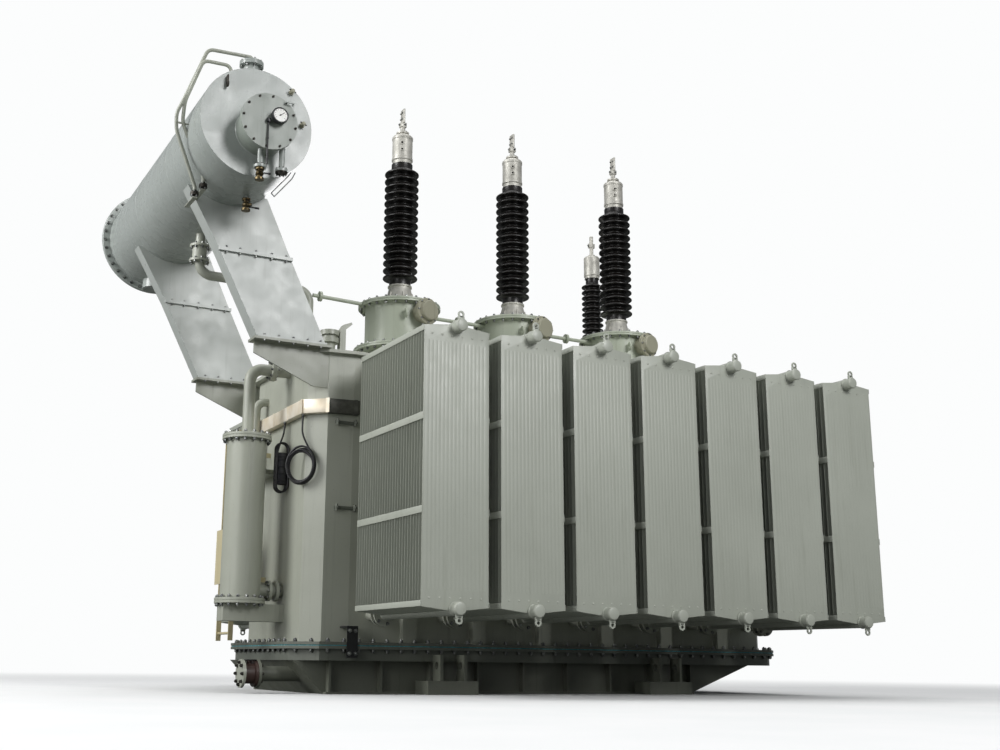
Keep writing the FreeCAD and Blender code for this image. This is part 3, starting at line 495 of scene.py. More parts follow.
def makeHankWrap():
    # black tape wound round the hank, drawn in between its turns
    x, y = cableSet["hankMiddle"]
    low = cableSet["wrapLow"]
    high = cableSet["wrapHigh"]
    rings = 13
    profile = [(0.050, 0)]
    for index in range(rings):
        foot = (high - low) * index / rings
        tape = (high - low) / rings
        swell = 0.004 * math.sin(index * 1.9) + 0.003 * math.sin(index * 0.7)
        profile.append((0.0535 + swell, foot + tape * 0.15))
        profile.append((0.0545 + swell, foot + tape * 0.80))
        profile.append((0.0520 + swell, foot + tape * 0.97))
    profile.append((0.048, high - low))
    wrap = spinProfile(profile, (0, 0, 0), alongZ, 36)
    wrap.scale = (1, 0.64, 1)
    wrap.location = (x, y, low)
    bakePlace(wrap)
    pick(wrap)
    bpy.ops.object.modifier_add(type="SOLIDIFY")
    wrap.modifiers[-1].thickness = 0.0015
    bpy.ops.object.modifier_apply(modifier=wrap.modifiers[-1].name)
    wrap.name = "hank_wrap"
    paint(wrap, "tape")
    finishPiece(wrap, [], 50)


def makeCable(name, points, stands):
    curve = bpy.data.curves.new(name, "CURVE")
    curve.dimensions = "3D"
    curve.bevel_depth = cableSet["radius"]
    curve.bevel_resolution = 3
    curve.resolution_u = 4
    curve.use_fill_caps = True
    spline = curve.splines.new("NURBS")
    spline.points.add(len(points) - 1)
    for knot, point in zip(spline.points, points):
        knot.co = (*point, 1)
    spline.order_u = 3
    spline.use_endpoint_u = True
    cable = bpy.data.objects.new(name, curve)
    bpy.context.scene.collection.objects.link(cable)
    curve.materials.append(finishes["sheath"])
    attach(cable, "root")
    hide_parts(*stands)
    return cable


makeCable("coiled_cable", [Vector(p) for p in cableSet["coilRoute"]] + coilPoints(),
          ["cable_drop", "cable_coil"])
makeCable("hanked_cable", [Vector(p) for p in cableSet["hankRoute"]] + hankPoints(),
          ["hank_drop", "cable_hank"])
makeHankWrap()
print("cables coiled")


# bolts

def addBolt(seat, axis, across):
    # a washer, a chamfered hexagon head and the rounded end of the stud
    seat = Vector(seat)
    axis = Vector(axis).normalized()
    washer = addRod(seat, seat + axis * across * 0.12, across * 0.68, 14)
    head = addRod(seat + axis * across * 0.1, seat + axis * across * 0.78, across * 0.577, 6, across * 0.05)
    stud = addRod(seat + axis * across * 0.7, seat + axis * across * 1.02, across * 0.3, 10, across * 0.06)
    return joinParts("bolt", [washer, head, stud])


def boltRing(centre, axis, radius, count, across, start=0.0):
    centre = Vector(centre)
    axis = Vector(axis).normalized()
    side = axis.orthogonal().normalized()
    side = Matrix.Rotation(math.radians(start), 3, axis) @ side
    bolt = addBolt(centre + side * radius, axis, across)
    pick(bolt)
    bpy.ops.object.mode_set(mode="EDIT")
    bpy.ops.mesh.select_all(action="SELECT")
    bpy.ops.mesh.spin(steps=count - 1, angle=2 * math.pi * (count - 1) / count, dupli=True,
                      center=centre, axis=axis)
    bpy.ops.object.mode_set(mode="OBJECT")
    return bolt


def boltRow(start, end, count, axis, across):
    start = Vector(start)
    end = Vector(end)
    bolt = addBolt(start, axis, across)
    return repeatAlong(bolt, (end - start) / (count - 1), count)


def makeBolts(name, groups, material="zinc"):
    piece = joinParts(name, groups)
    paint(piece, material)
    return finishPiece(piece)


# radiators

radiatorSet = {
    "count": 7,
    "finCount": 26,
    "finPitch": 0.0442,
    "finWidth": 0.520,
    "finHeight": 1.959,
    "bottom": 0.607,
    "peak": 0.030,
    "seam": 0.003,               # lap seam of the pressed sheets
    "body": 0.010,               # over the oil channels
    "seamWidth": 0.012,
    "flutes": 16,
    "band": 0.105,               # flat bands above and below the flutes
    "fluteDepth": 0.0020,
    "dimples": 6,
    "dimpleInset": 0.060,
    "headerRadius": 0.0445,
    "headerInset": 0.018,
    "nose": 0.085,
    "neck": 0.030,
    "pitch": 0.6217,
    "first": -2.000,
    "nearest": 1.156,            # from the middle of the tank to the nearest fin
    "strapHeight": 0.050,
    "endStrapHeight": 0.040,
    "strapThickness": 0.006,
    "eyeReach": 0.080,
    "eyeHole": 0.013,
    "eyeRadius": 0.026,
    "eyeThickness": 0.012,
    "eyeSetback": 0.030,
}


def addFin(fluted):
    # a hexagonal plate with a thin lap seam and a raised body, its middle on the origin
    r = radiatorSet
    halfHeight = r["finHeight"] / 2
    fin = addBlock((-r["finWidth"] / 2, -r["seam"] / 2, -halfHeight),
                   (r["finWidth"] / 2, r["seam"] / 2, halfHeight))
    pick(fin)
    bpy.ops.object.mode_set(mode="EDIT")
    bpy.ops.mesh.select_all(action="SELECT")
    bpy.ops.mesh.bisect(plane_co=(0, 0, 0), plane_no=(1, 0, 0))
    for up in (-1, 1):
        selectPoints(fin, lambda p: abs(p.x) < 0.001 and p.z * up > 0)
        bpy.ops.transform.translate(value=(0, 0, up * r["peak"]))
    for out in (-1, 1):
        selectFaces(fin, lambda f: f.normal.y * out > 0.9)
        bpy.ops.mesh.inset(thickness=r["seamWidth"], depth=(r["body"] - r["seam"]) / 2)
    if fluted:
        pressFlutes(fin)
    bpy.ops.object.mode_set(mode="OBJECT")
    return fin


def pressFlutes(fin):
    # cuts the outer face into strips and raises each in two steps, so that it looks rounded
    r = radiatorSet
    inner = r["finWidth"] / 2 - r["seamWidth"]
    band = r["finHeight"] / 2 - r["band"]
    width = 2 * inner / r["flutes"]
    front = -r["body"] / 2 + 0.0002

    def isFront(face):
        return face.calc_center_median().y < front and face.normal.y < -0.9

    for place in (-band, band):
        selectFaces(fin, isFront)
        bpy.ops.mesh.bisect(plane_co=(0, 0, place), plane_no=(0, 0, 1))
    for index in range(1, r["flutes"]):
        if 2 * index == r["flutes"]:
            continue
        selectFaces(fin, lambda f: isFront(f) and abs(f.calc_center_median().z) < band)
        bpy.ops.mesh.bisect(plane_co=(-inner + index * width, 0, 0), plane_no=(1, 0, 0))
    selectFaces(fin, lambda f: isFront(f) and abs(f.calc_center_median().z) < band)
    bpy.ops.mesh.inset(use_individual=True, thickness=width * 0.14, depth=r["fluteDepth"] * 0.7)
    bpy.ops.mesh.inset(use_individual=True, thickness=width * 0.2, depth=r["fluteDepth"] * 0.3)


def addDimples(y, z):
    # spot-weld dimples in the flat band
    r = radiatorSet
    deselectAll()
    bpy.ops.mesh.primitive_uv_sphere_add(segments=12, ring_count=6, radius=0.009, location=(0, 0, 0))
    dimple = bpy.context.active_object
    dimple.scale = (1, 0.35, 1)
    span = r["finWidth"] - 2 * r["dimpleInset"]
    dimple.location = (-span / 2, y, z)
    bakePlace(dimple)
    return repeatAlong(dimple, (span / (r["dimples"] - 1), 0, 0), r["dimples"])


def addHeader(z, up, far):
    # a pipe with a domed nose cap, a weld bead at the fins and a lifting eye
    r = radiatorSet
    radius = r["headerRadius"]
    end = far + r["nose"]
    profile = [(0, r["nearest"] - r["neck"]), (radius, r["nearest"] - r["neck"]), (radius, far),
               (radius + 0.006, far + 0.002), (radius + 0.006, far + 0.008), (radius, far + 0.014),
               (radius, end - 0.018), (radius + 0.0025, end - 0.016), (radius + 0.0025, end - 0.011),
               (radius - 0.003, end - 0.003), (radius - 0.012, end), (0, end)]
    pipe = spinProfile(profile, (0, 0, z), (0, -1, 0), 40)
    eyeY = -(end - r["eyeSetback"])
    half = r["eyeThickness"] / 2
    eyeZ = z + up * r["eyeReach"]
    ring = spinProfile([(r["eyeHole"], -half), (r["eyeRadius"] - 0.002, -half),
                        (r["eyeRadius"], -half + 0.002),
                        (r["eyeRadius"], half - 0.002), (r["eyeRadius"] - 0.002, half), (r["eyeHole"], half),
                        (r["eyeHole"], -half)], (0, eyeY, eyeZ), (0, -1, 0), 28)
    low, high = sorted((z + up * radius * 0.9, eyeZ - up * r["eyeHole"] * 1.15))
    stem = addBlock((-r["eyeRadius"], eyeY - half, low), (r["eyeRadius"], eyeY + half, high), 0.002)
    return [pipe, ring, stem]


def addStraps(far):
    # flat bars welded across the fin edges on both flanks
    r = radiatorSet
    low = -r["finHeight"] / 2
    levels = [(low, r["endStrapHeight"]), (-low - r["endStrapHeight"], r["endStrapHeight"])]
    for share in (1 / 3, 2 / 3):
        levels.append((low + r["finHeight"] * share - r["strapHeight"] / 2, r["strapHeight"]))
    bars = []
    for z, height in levels:
        for side in (-1, 1):
            x = side * (r["finWidth"] / 2 + 0.001)
            lowX, highX = sorted((x, x + side * (r["strapThickness"] - 0.003)))
            bars.append(addBlock((lowX, -far, z), (highX, -r["nearest"], z + height), 0.001))
    return bars


def makeRadiators():
    r = radiatorSet
    far = r["nearest"] + (r["finCount"] - 1) * r["finPitch"] + r["body"]
    outer = slide(addFin(True), (0, -far + r["body"] / 2, 0))
    inner = slide(addFin(False), (0, -r["nearest"] - r["body"] / 2, 0))
    repeatAlong(inner, (0, -r["finPitch"], 0), r["finCount"] - 1)
    top = r["finHeight"] / 2 + r["peak"] - r["headerInset"]
    parts = [outer, inner] + addStraps(far) + addHeader(top, 1, far) + addHeader(-top, -1, far)
    bandMiddle = r["finHeight"] / 2 - r["band"] * 0.55
    for place in (-bandMiddle, bandMiddle):
        parts.append(addDimples(-far - 0.0003, place))
    bank = joinParts("radiatorBank", parts)
    paint(bank, "radiator")
    middleZ = r["bottom"] + r["finHeight"] / 2
    for index in range(r["count"]):
        place = (r["first"] + index * r["pitch"] + r["finWidth"] / 2, 0, middleZ)
        for word, half in (("front", copyOf(bank, place)), ("back", mirrored(bank, place))):
            half.name = "radiator_%d_%s" % (index + 1, word)
            finishPiece(half, ["radiator_pair_%d" % (index + 1)], 28)
    bpy.data.objects.remove(bank)


makeRadiators()
print("radiators pressed")


# the CAD pieces that keep their shape get their finish

nodeFinishes = {
    "grey": ("tank_body", "tank_cover", "wall_stiffeners", "radiator_valves", "oil_pipe",
             "oil_pipe_valve", "wall_conduit", "breather_pipes", "cover_fittings", "oil_filter",
             "oil_filter_beam", "oil_filter_pipes", "drain_blank_flange"),
    "flange": ("joint_flange_lower", "joint_flange_upper", "lower_pan"),
    "gasket": ("joint_gasket",),
    "shade": ("base_frame", "jacking_pads", "hauling_lugs", "drain_pipe"),
    "turret": ("turrets", "gas_pipe"),
    "olive": ("ct_terminal_boxes",),
    "pale": ("conservator_shell", "conservator_end_flange", "conservator_bosses", "conservator_end_pipes"),
    "hatch": ("conservator_manhole",),
    "arm": ("conservator_arm_near", "conservator_arm_far"),
    "bracket": ("arm_brackets",),
    "brass": ("conservator_drain_cocks",),
    "case": ("level_dial",),
    "aluminium": ("bushing_bases", "bushing_caps", "lv_bushing_metal"),
    "porcelain": ("bushing_insulators", "lv_bushing_insulators"),
    "tan": ("ladder",),
    "stainless": ("cable_duct",),
    "red": ("drain_valve",),
    "black": ("ground_bar",),
}
for finish, names in nodeFinishes.items():
    for name in names:
        paint(cadNodes[name], finish)
print("frame painted")


# high voltage bushings

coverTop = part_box("tank_cover")[1].z

bushingSet = {
    "places": ((-1.206, -0.120), (-0.024, -0.120), (1.166, -0.120)),
    "foot": 3.360,               # top of the turret flange
    "baseHeight": 0.194,
    "core": 0.098,
    "shed": 0.158,
    "sheds": 15,
    "pitch": 0.0718,
    "end": 0.050,
    "capRadius": 0.098,
    "capHeight": 0.295,
    "footBolts": 8,
}
neutralSet = {
    "place": (1.375, 0.600),
    "foot": 3.408,
    "core": 0.068,
    "shed": 0.112,
    "sheds": 12,
    "pitch": 0.060,
    "end": 0.050,
    "capRadius": 0.084,
    "capHeight": 0.290,
    "stud": 0.190,
}


def makePorcelain(name, values, x, y, z, stands):
    # sheds with drooping rims, stacked between two plain necks
    core, shed, count, pitch, end = (values[key] for key in ("core", "shed", "sheds", "pitch", "end"))
    rim = pitch * 0.12
    profile = [(core, 0), (core + 0.003, pitch * 0.10), (core + (shed - core) * 0.30, pitch * 0.19),
               (core + (shed - core) * 0.72, pitch * 0.22), (shed - rim * 0.5, pitch * 0.20),
               (shed - rim * 0.12, pitch * 0.24), (shed, pitch * 0.31), (shed - rim * 0.1, pitch * 0.39),
               (shed - rim * 0.6, pitch * 0.46), (core + (shed - core) * 0.60, pitch * 0.58),
               (core + (shed - core) * 0.22, pitch * 0.72), (core + 0.003, pitch * 0.86), (core, pitch)]
    stack = repeatAlong(spinProfile(profile, (x, y, z + end), alongZ, 44), (0, 0, pitch), count)
    lower = spinProfile([(0, 0), (core, 0), (core, end)], (x, y, z), alongZ, 44)
    upper = spinProfile([(core, 0), (core, end), (0, end)], (x, y, z + end + count * pitch), alongZ, 44)
    body = faceOutwards(joinParts(name, [stack, lower, upper]), 0.0002)
    finishPiece(paint(body, "porcelain"), [stands], 50)


def addPlug(x, y, z, radius):
    # an oil plug on the side of the cap: a pale boss with a hole; the dark disc called socket, sunk in the
    # hole, is painted shade
    boss = spinProfile([(0, 0), (radius, 0), (radius, 0.008), (radius * 0.8, 0.012), (radius * 0.5, 0.012),
                        (radius * 0.5, 0.005), (0, 0.005)], (x, y, z), (-0.45, -0.9, 0), 20)
    socket = spinProfile([(0, 0), (radius * 0.48, 0), (radius * 0.48, 0.0075), (0, 0.0075)], (x, y, z),
                         (-0.45, -0.9, 0), 16)
    return [paint(boss, "aluminium"), paint(socket, "iron")]


def makeBushing(index, x, y):
    b = bushingSet
    z = b["foot"]
    high = b["baseHeight"]
    foot = spinProfile([(0, 0), (0.150, 0), (0.150, 0.019), (0.147, 0.022), (0.136, 0.024), (0.130, 0.034),
                        (0.106, high - 0.050), (0.101, high - 0.030), (0.101, high - 0.020),
                        (0.110, high - 0.016),
                        (0.110, high - 0.003), (0.107, high), (0, high)], (x, y, z), alongZ, 44)
    ribs = []
    for step in range(6):
        turn = math.radians(60 * step + 20)
        rib = addBlock((0.098, -0.006, 0.018), (0.144, 0.006, 0.120), 0.002)
        pick(rib)
        bpy.ops.object.mode_set(mode="EDIT")
        selectPoints(rib, lambda p: p.x > 0.12 and p.z > 0.07)
        bpy.ops.transform.translate(value=(-0.024, 0, 0))
        bpy.ops.object.mode_set(mode="OBJECT")
        rib.rotation_euler = (0, 0, turn)
        rib.location = (x, y, z)
        ribs.append(bakePlace(rib))
    paint(foot, "aluminium")
    for rib in ribs:
        paint(rib, "aluminium")
    bolts = paint(boltRing((x, y, z + 0.022), alongZ, 0.134, b["footBolts"], 0.022, 15), "zinc")
    base = joinParts("bushing_base_%d" % index, [foot, bolts] + ribs)
    finishPiece(base, ["bushing_bases"])
    z = z + b["baseHeight"]
    makePorcelain("bushing_porcelain_%d" % index, b, x, y, z, "bushing_insulators")
    z = z + 2 * b["end"] + b["sheds"] * b["pitch"]
    radius = b["capRadius"]
    high = b["capHeight"]
    cap = spinProfile([(0, 0), (radius - 0.008, 0), (radius - 0.008, 0.032), (radius, 0.040), (radius, 0.058),
                       (radius - 0.004, 0.062), (radius - 0.004, high - 0.050), (radius, high - 0.046),
                       (radius, high - 0.026), (radius - 0.010, high - 0.012), (0.062, high), (0.044, high),
                       (0.044, high + 0.012), (0.060, high + 0.014), (0.060, high + 0.030),
                       (0.040, high + 0.034),
                       (0.024, high + 0.040), (0.020, high + 0.130), (0, high + 0.130)], (x, y, z), alongZ,
                       44)
    paint(cap, "aluminium")
    palm = addBlock((x - 0.009, y - 0.038, z + high + 0.128), (x + 0.009, y + 0.038, z + high + 0.268), 0.006)
    clampLow = z + high + 0.085
    clamp = addBlock((x - 0.030, y - 0.026, clampLow), (x + 0.030, y + 0.026, clampLow + 0.048), 0.005)
    paint(palm, "aluminium")
    paint(clamp, "aluminium")
    small = [boltRing((x, y, z + high + 0.030), alongZ, 0.049, 6, 0.010)]
    for up in (0.168, 0.228):
        for side in (-0.018, 0.018):
            small.append(addBolt((x - 0.009, y + side, z + high + up), (-1, 0, 0), 0.014))
    small.append(addBolt((x - 0.030, y, clampLow + 0.024), (-1, 0, 0), 0.016))
    small.append(addBolt((x + 0.012, y - 0.026, clampLow + 0.024), towardsViewer, 0.016))
    bolts = paint(joinParts("capBolts", small), "zinc")
    plugs = []
    for up in (0.125, 0.190):
        plugs += addPlug(x - 0.041, y - 0.082, z + up, 0.020)
    top = joinParts("bushing_cap_%d" % index, [cap, palm, clamp, bolts] + plugs)
    finishPiece(top, ["bushing_caps"])


def makeNeutral():
    n = neutralSet
    x, y = n["place"]
    z = n["foot"]
    makePorcelain("neutral_porcelain", n, x, y, z, "bushing_insulators")
    z = z + 2 * n["end"] + n["sheds"] * n["pitch"]
    radius = n["capRadius"]
    high = n["capHeight"]
    cap = spinProfile([(0, 0), (radius - 0.006, 0), (radius - 0.006, 0.024), (radius, 0.030),
                       (radius, high - 0.060),
                       (radius - 0.010, high - 0.046), (0.034, high - 0.034), (0.034, high - 0.020),
                       (0.020, high - 0.016), (0.020, high + n["stud"] - 0.004), (0.016, high + n["stud"]),
                       (0, high + n["stud"])], (x, y, z), alongZ, 36)
    paint(cap, "aluminium")
    clamp = addBlock((x - 0.034, y - 0.018, z + high + 0.060), (x + 0.034, y + 0.018, z + high + 0.110),
                     0.004)
    paint(clamp, "aluminium")
    bolts = paint(addBolt((x - 0.034, y, z + high + 0.085), (-1, 0, 0), 0.016), "zinc")
    finishPiece(joinParts("neutral_cap", [cap, clamp, bolts]), ["bushing_caps"])


for number, (x, y) in enumerate(bushingSet["places"]):
    makeBushing(number + 1, x, y)
makeNeutral()
print("bushings stacked")


# low voltage bushings on the far side

lowVoltageSet = {"places": (-1.300, -0.560, 0.180, 0.920), "y": 0.560, "core": 0.048, "shed": 0.080,
                 "sheds": 4,
                 "pitch": 0.062, "end": 0.020, "flange": 0.130}


def makeLowVoltage():
    v = lowVoltageSet
    for index, x in enumerate(v["places"]):
        y = v["y"]
        z = coverTop
        foot = spinProfile([(0, 0), (v["flange"], 0), (v["flange"], 0.016), (v["flange"] - 0.004, 0.020),
                            (0.078, 0.022), (0.066, 0.034), (0.062, 0.040), (0, 0.040)], (x, y, z), alongZ,
                            36)
        paint(foot, "aluminium")
        bolts = paint(boltRing((x, y, z + 0.020), alongZ, 0.104, 8, 0.020), "zinc")
        top = z + 0.080 + v["sheds"] * v["pitch"]
        stud = spinProfile([(0, 0), (0.040, 0), (0.040, 0.014), (0.030, 0.018), (0.022, 0.020),
                            (0.022, 0.106),
                            (0.018, 0.110), (0, 0.110)], (x, y, top), alongZ, 28)
        paint(stud, "brass")
        nut = paint(addRod((x, y, top + 0.040), (x, y, top + 0.064), 0.036, 6, 0.003), "brass")
        finishPiece(joinParts("lv_bushing_metal_%d" % (index + 1), [foot, bolts, stud, nut]),
                    ["lv_bushing_metal"])
        makePorcelain("lv_bushing_porcelain_%d" % (index + 1), v, x, y, z + 0.040, "lv_bushing_insulators")


makeLowVoltage()
print("low voltage bushings set")


# turrets and current transformer boxes

turretSet = {
    "radius": 0.308,
    "neckRadius": 0.285,
    "neckHeight": 0.232,
    "height": 0.410,
    "lowFlange": 0.405,
    "topFlange": 0.371,
    "plate": 0.018,
    "topBolts": 24,
    "lowBolts": 28,
    "boxAngle": 13,
    "boxReach": 0.452,
    "boxShare": 0.79,
    "boxRadius": 0.118,
    "boxNeck": 0.084,
    "neutralRadius": 0.190,
    "neutralHeight": 0.690,
    "lid": 0.036,
}


def addFlangePair(radius, inner, low, plate):
    # two plates with a thin gasket line between them, edges eased
    ease = 0.0025
    return [(inner, low), (radius - ease, low), (radius, low + ease), (radius, low + plate - ease),
            (radius - 0.004, low + plate), (radius, low + plate + ease), (radius, low + 2 * plate - ease),
            (radius - ease, low + 2 * plate), (inner, low + 2 * plate)]


def makeTurret(index, x, y):
    t = turretSet
    z = coverTop
    joint = t["neckHeight"]
    top = joint + t["height"]
    profile = [(0, 0), (t["neckRadius"] + 0.012, 0), (t["neckRadius"], 0.012)]
    profile += addFlangePair(t["lowFlange"], t["neckRadius"], joint, t["plate"])
    profile += [(t["radius"] + 0.008, joint + 2 * t["plate"]), (t["radius"], joint + 2 * t["plate"] + 0.008)]
    profile += [(t["radius"], top - 0.008)]
    profile += addFlangePair(t["topFlange"], t["radius"] + 0.008, top, t["plate"])
    profile += [(0, top + 2 * t["plate"])]
    drum = paint(spinProfile(profile, (x, y, z), alongZ, 72), "turret")
    bolts = []
    for height, ring, count in ((joint, t["lowFlange"] - 0.026, t["lowBolts"]),
                                (top, t["topFlange"] - 0.026, t["topBolts"])):
        bolts.append(boltRing((x, y, z + height + 2 * t["plate"]), alongZ, ring, count, 0.021))
        bolts.append(boltRing((x, y, z + height), (0, 0, -1), ring, count, 0.021))
    steel = paint(joinParts("turretBolts", bolts), "zinc")
    ears = []
    for turn in (75, 255):
        angle = math.radians(turn)
        out = Vector((math.cos(angle), math.sin(angle), 0))
        middle = Vector((x, y, z + joint + 0.30)) + out * (t["radius"] + 0.040)
        across = out.cross(alongZ)
        ear = spinProfile([(0.015, -0.008), (0.040, -0.008), (0.042, 0), (0.040, 0.008), (0.015, 0.008),
                           (0.015, -0.008)], middle, across, 24)
        ears.append(paint(ear, "turret"))
    finishPiece(joinParts("turret_%d" % index, [drum, steel] + ears), ["turrets"])
    angle = math.radians(t["boxAngle"])
    out = Vector((math.sin(angle), -math.cos(angle), 0))
    middle = Vector((x, y, z + joint + t["height"] * t["boxShare"]))
    start = t["radius"] - 0.04
    reach = t["boxReach"]
    profile = [(0, start), (t["boxNeck"], start), (t["boxNeck"], reach - 0.074),
               (t["boxRadius"] - 0.002, reach - 0.074),
               (t["boxRadius"], reach - 0.071), (t["boxRadius"], reach - 0.058),
               (t["boxRadius"] - 0.004, reach - 0.056),
               (t["boxRadius"], reach - 0.054), (t["boxRadius"], reach - 0.042),
               (t["boxRadius"] - 0.004, reach - 0.038),
               (0.092, reach - 0.036), (0.088, reach - 0.006), (0.080, reach), (0, reach)]
    box = paint(spinProfile(profile, middle, out, 48), "olive")
    screws = paint(boltRing(middle + out * (reach - 0.038), out, 0.106, 8, 0.014), "zinc")
    gland = paint(addRod(middle + out * (reach - 0.10) - alongZ * 0.085,
                         middle + out * (reach - 0.10) - alongZ * 0.135,
                         0.018, 6, 0.003), "zinc")
    finishPiece(joinParts("ct_box_%d" % index, [box, screws, gland]), ["ct_terminal_boxes"])


def makeNeutralTurret():
    t = turretSet
    x, y = neutralSet["place"]
    high = t["neutralHeight"]
    edge = t["neutralRadius"] + 0.045
    profile = [(0, 0), (t["neutralRadius"] + 0.010, 0), (t["neutralRadius"], 0.010),
               (t["neutralRadius"], high),
               (edge - 0.003, high), (edge, high + 0.003), (edge, high + 0.016), (edge - 0.004, high + 0.018),
               (edge, high + 0.020), (edge, high + t["lid"] - 0.003), (edge - 0.003, high + t["lid"]),
               (0, high + t["lid"])]
    drum = paint(spinProfile(profile, (x, y, coverTop), alongZ, 56), "turret")
    steel = paint(boltRing((x, y, coverTop + high + t["lid"]), alongZ, edge - 0.022, 14, 0.022), "zinc")
    finishPiece(joinParts("neutral_turret", [drum, steel]), ["turrets"])


for number, (x, y) in enumerate(bushingSet["places"]):
    makeTurret(number + 1, x, y)
makeNeutralTurret()
print("turrets bolted")


# the plan of the tank, for all that follows its walls

tankSet = {"length": 4.540, "width": 1.700, "cut": 0.130, "backCut": 0.300, "lean": 0.025,
           "leanLength": 0.210}


def tankOutline(grow):
    # corner by corner, each wall moved outwards by grow
    t = tankSet
    a = t["length"] / 2
    b = t["width"] / 2

    def corner(cut):
        return [(a, b - cut - t["lean"]), (a - cut, b - t["lean"]), (a - cut - t["leanLength"], b)]

    back = corner(t["backCut"])
    front = corner(t["cut"])
    points = back + [(-x, y) for x, y in reversed(back)]
    points += [(-x, -y) for x, y in front] + [(x, -y) for x, y in reversed(front)]
    moved = []
    for index, point in enumerate(points):
        here = Vector(point)
        into = (here - Vector(points[index - 1])).normalized()
        out = (Vector(points[(index + 1) % len(points)]) - here).normalized()
        first = Vector((into.y, -into.x))
        second = Vector((out.y, -out.x))
        moved.append(here + (first + second) * grow / (1 + first.dot(second)))
    return moved


def addPrism(points, low, height, bevel=0.0):
    # a chain of points joined to a face, and pulled upwards
    piece = startChain([(x, y, low) for x, y in points])
    bpy.ops.mesh.edge_face_add()
    bpy.ops.mesh.extrude_region_move(TRANSFORM_OT_translate={"value": (0, 0, height)})
    bpy.ops.object.mode_set(mode="OBJECT")
    bakePlace(faceOutwards(piece))
    if bevel:
        bevelEdges(piece, bevel)
    return piece


# bolts round the bell joint of the tank

jointSet = {"grow": 0.108, "pitch": 0.118, "across": 0.027, "top": 0.386, "bottom": 0.334}


def makeJointBolts():
    j = jointSet
    outline = tankOutline(j["grow"])
    rows = []
    for index, end in enumerate(outline):
        start = outline[index - 1]
        run = end - start
        count = max(2, round(run.length / j["pitch"]) + 1)
        inset = run / (count - 1) * 0.5
        first = start + inset
        last = end - inset
        if count == 2:
            spots = [(first + last) / 2]
            rows.append(addBolt((*spots[0], j["top"]), alongZ, j["across"]))
            rows.append(addBolt((*spots[0], j["bottom"]), -alongZ, j["across"]))
            continue
        rows.append(boltRow((*first, j["top"]), (*last, j["top"]), count - 1, alongZ, j["across"]))
        rows.append(boltRow((*first, j["bottom"]), (*last, j["bottom"]), count - 1, -alongZ, j["across"]))
    makeBolts("joint_bolts", rows)


makeJointBolts()
print("tank joint bolted")


# the stainless cable duct, made up of sheet covers with seam strips

ductSet = {
    "low": 2.160,
    "height": 0.118,
    "depth": 0.058,
    "front": -1.900,
    "end": 0.620,
    "cover": 0.340,              # longest sheet cover
    "strip": 0.030,
    "glands": ((-2.305, -0.705), (-2.318, -0.320)),
}


def makeDuct():
    d = ductSet
    inner = tankOutline(0.001)
    outer = tankOutline(d["depth"])
    # from the far end of the end wall, round the near corner, to the long wall
    chain = [5, 6, 7, 8]
    pieces = []
    seams = []
    for first, second in zip(chain, chain[1:]):
        a, b = outer[first], outer[second]
        c, e = inner[first], inner[second]
        if first == 5:
            share = (d["end"] - a.y) / (b.y - a.y)
            a = a + (b - a) * share
            c = Vector((c.x, a.y))
        if second == 8:
            b = Vector((d["front"], b.y)) if b.x > d["front"] else b
        count = max(1, math.ceil((b - a).length / d["cover"]))
        for index in range(count):
            low, high = index / count, (index + 1) / count
            ring = [a.lerp(b, low), a.lerp(b, high), c.lerp(e, high), c.lerp(e, low)]
            sheet = addPrism(ring, d["low"] + 0.002, d["height"] - 0.004, 0.003)
            # covers and strips on the long wall get the dark copy of the stainless: painted shade
            dull = first >= 7
            pieces.append(paint(sheet, "shadedStainless" if dull else "stainless"))
            seams.append((a.lerp(b, high), (b - a).normalized(), dull))
    # the last stretch along the long wall
    corner = outer[8]
    wall = inner[8]
    if corner.x < d["front"]:
        ring = [corner, Vector((d["front"], corner.y)), Vector((d["front"], wall.y)), wall]
        pieces.append(paint(addPrism(ring, d["low"] + 0.002, d["height"] - 0.004, 0.003), "shadedStainless"))
    for spot, along, dull in seams:
        out = Vector((-along.y, along.x))
        if out.dot(spot) < 0:
            out = -out
        half = along * d["strip"] / 2
        ring = [spot - half, spot + half, spot + half + out * 0.0018, spot - half + out * 0.0018]
        strip = addPrism(ring, d["low"], d["height"])
        pieces.append(paint(strip, "shadedStainless" if dull else "stainless"))
    for x, y in d["glands"]:
        nut = addRod((x, y, d["low"] - 0.009), (x, y, d["low"] + 0.002), 0.0129, 6, 0.001)
        collar = addRod((x, y, d["low"] - 0.020), (x, y, d["low"] - 0.009), 0.0112, 20, 0.002)
        pieces += [paint(nut, "zinc"), paint(collar, "case")]
    finishPiece(joinParts("cable_duct_covers", pieces), ["cable_duct"])


makeDuct()
print("duct covered")


# the oil filter vessel with its bolted ends

filterSet = {"x": -2.612, "y": -0.250, "radius": 0.160, "bottom": 0.700, "top": 2.010, "edge": 0.200,
             "plate": 0.022, "bolts": 16, "across": 0.024}


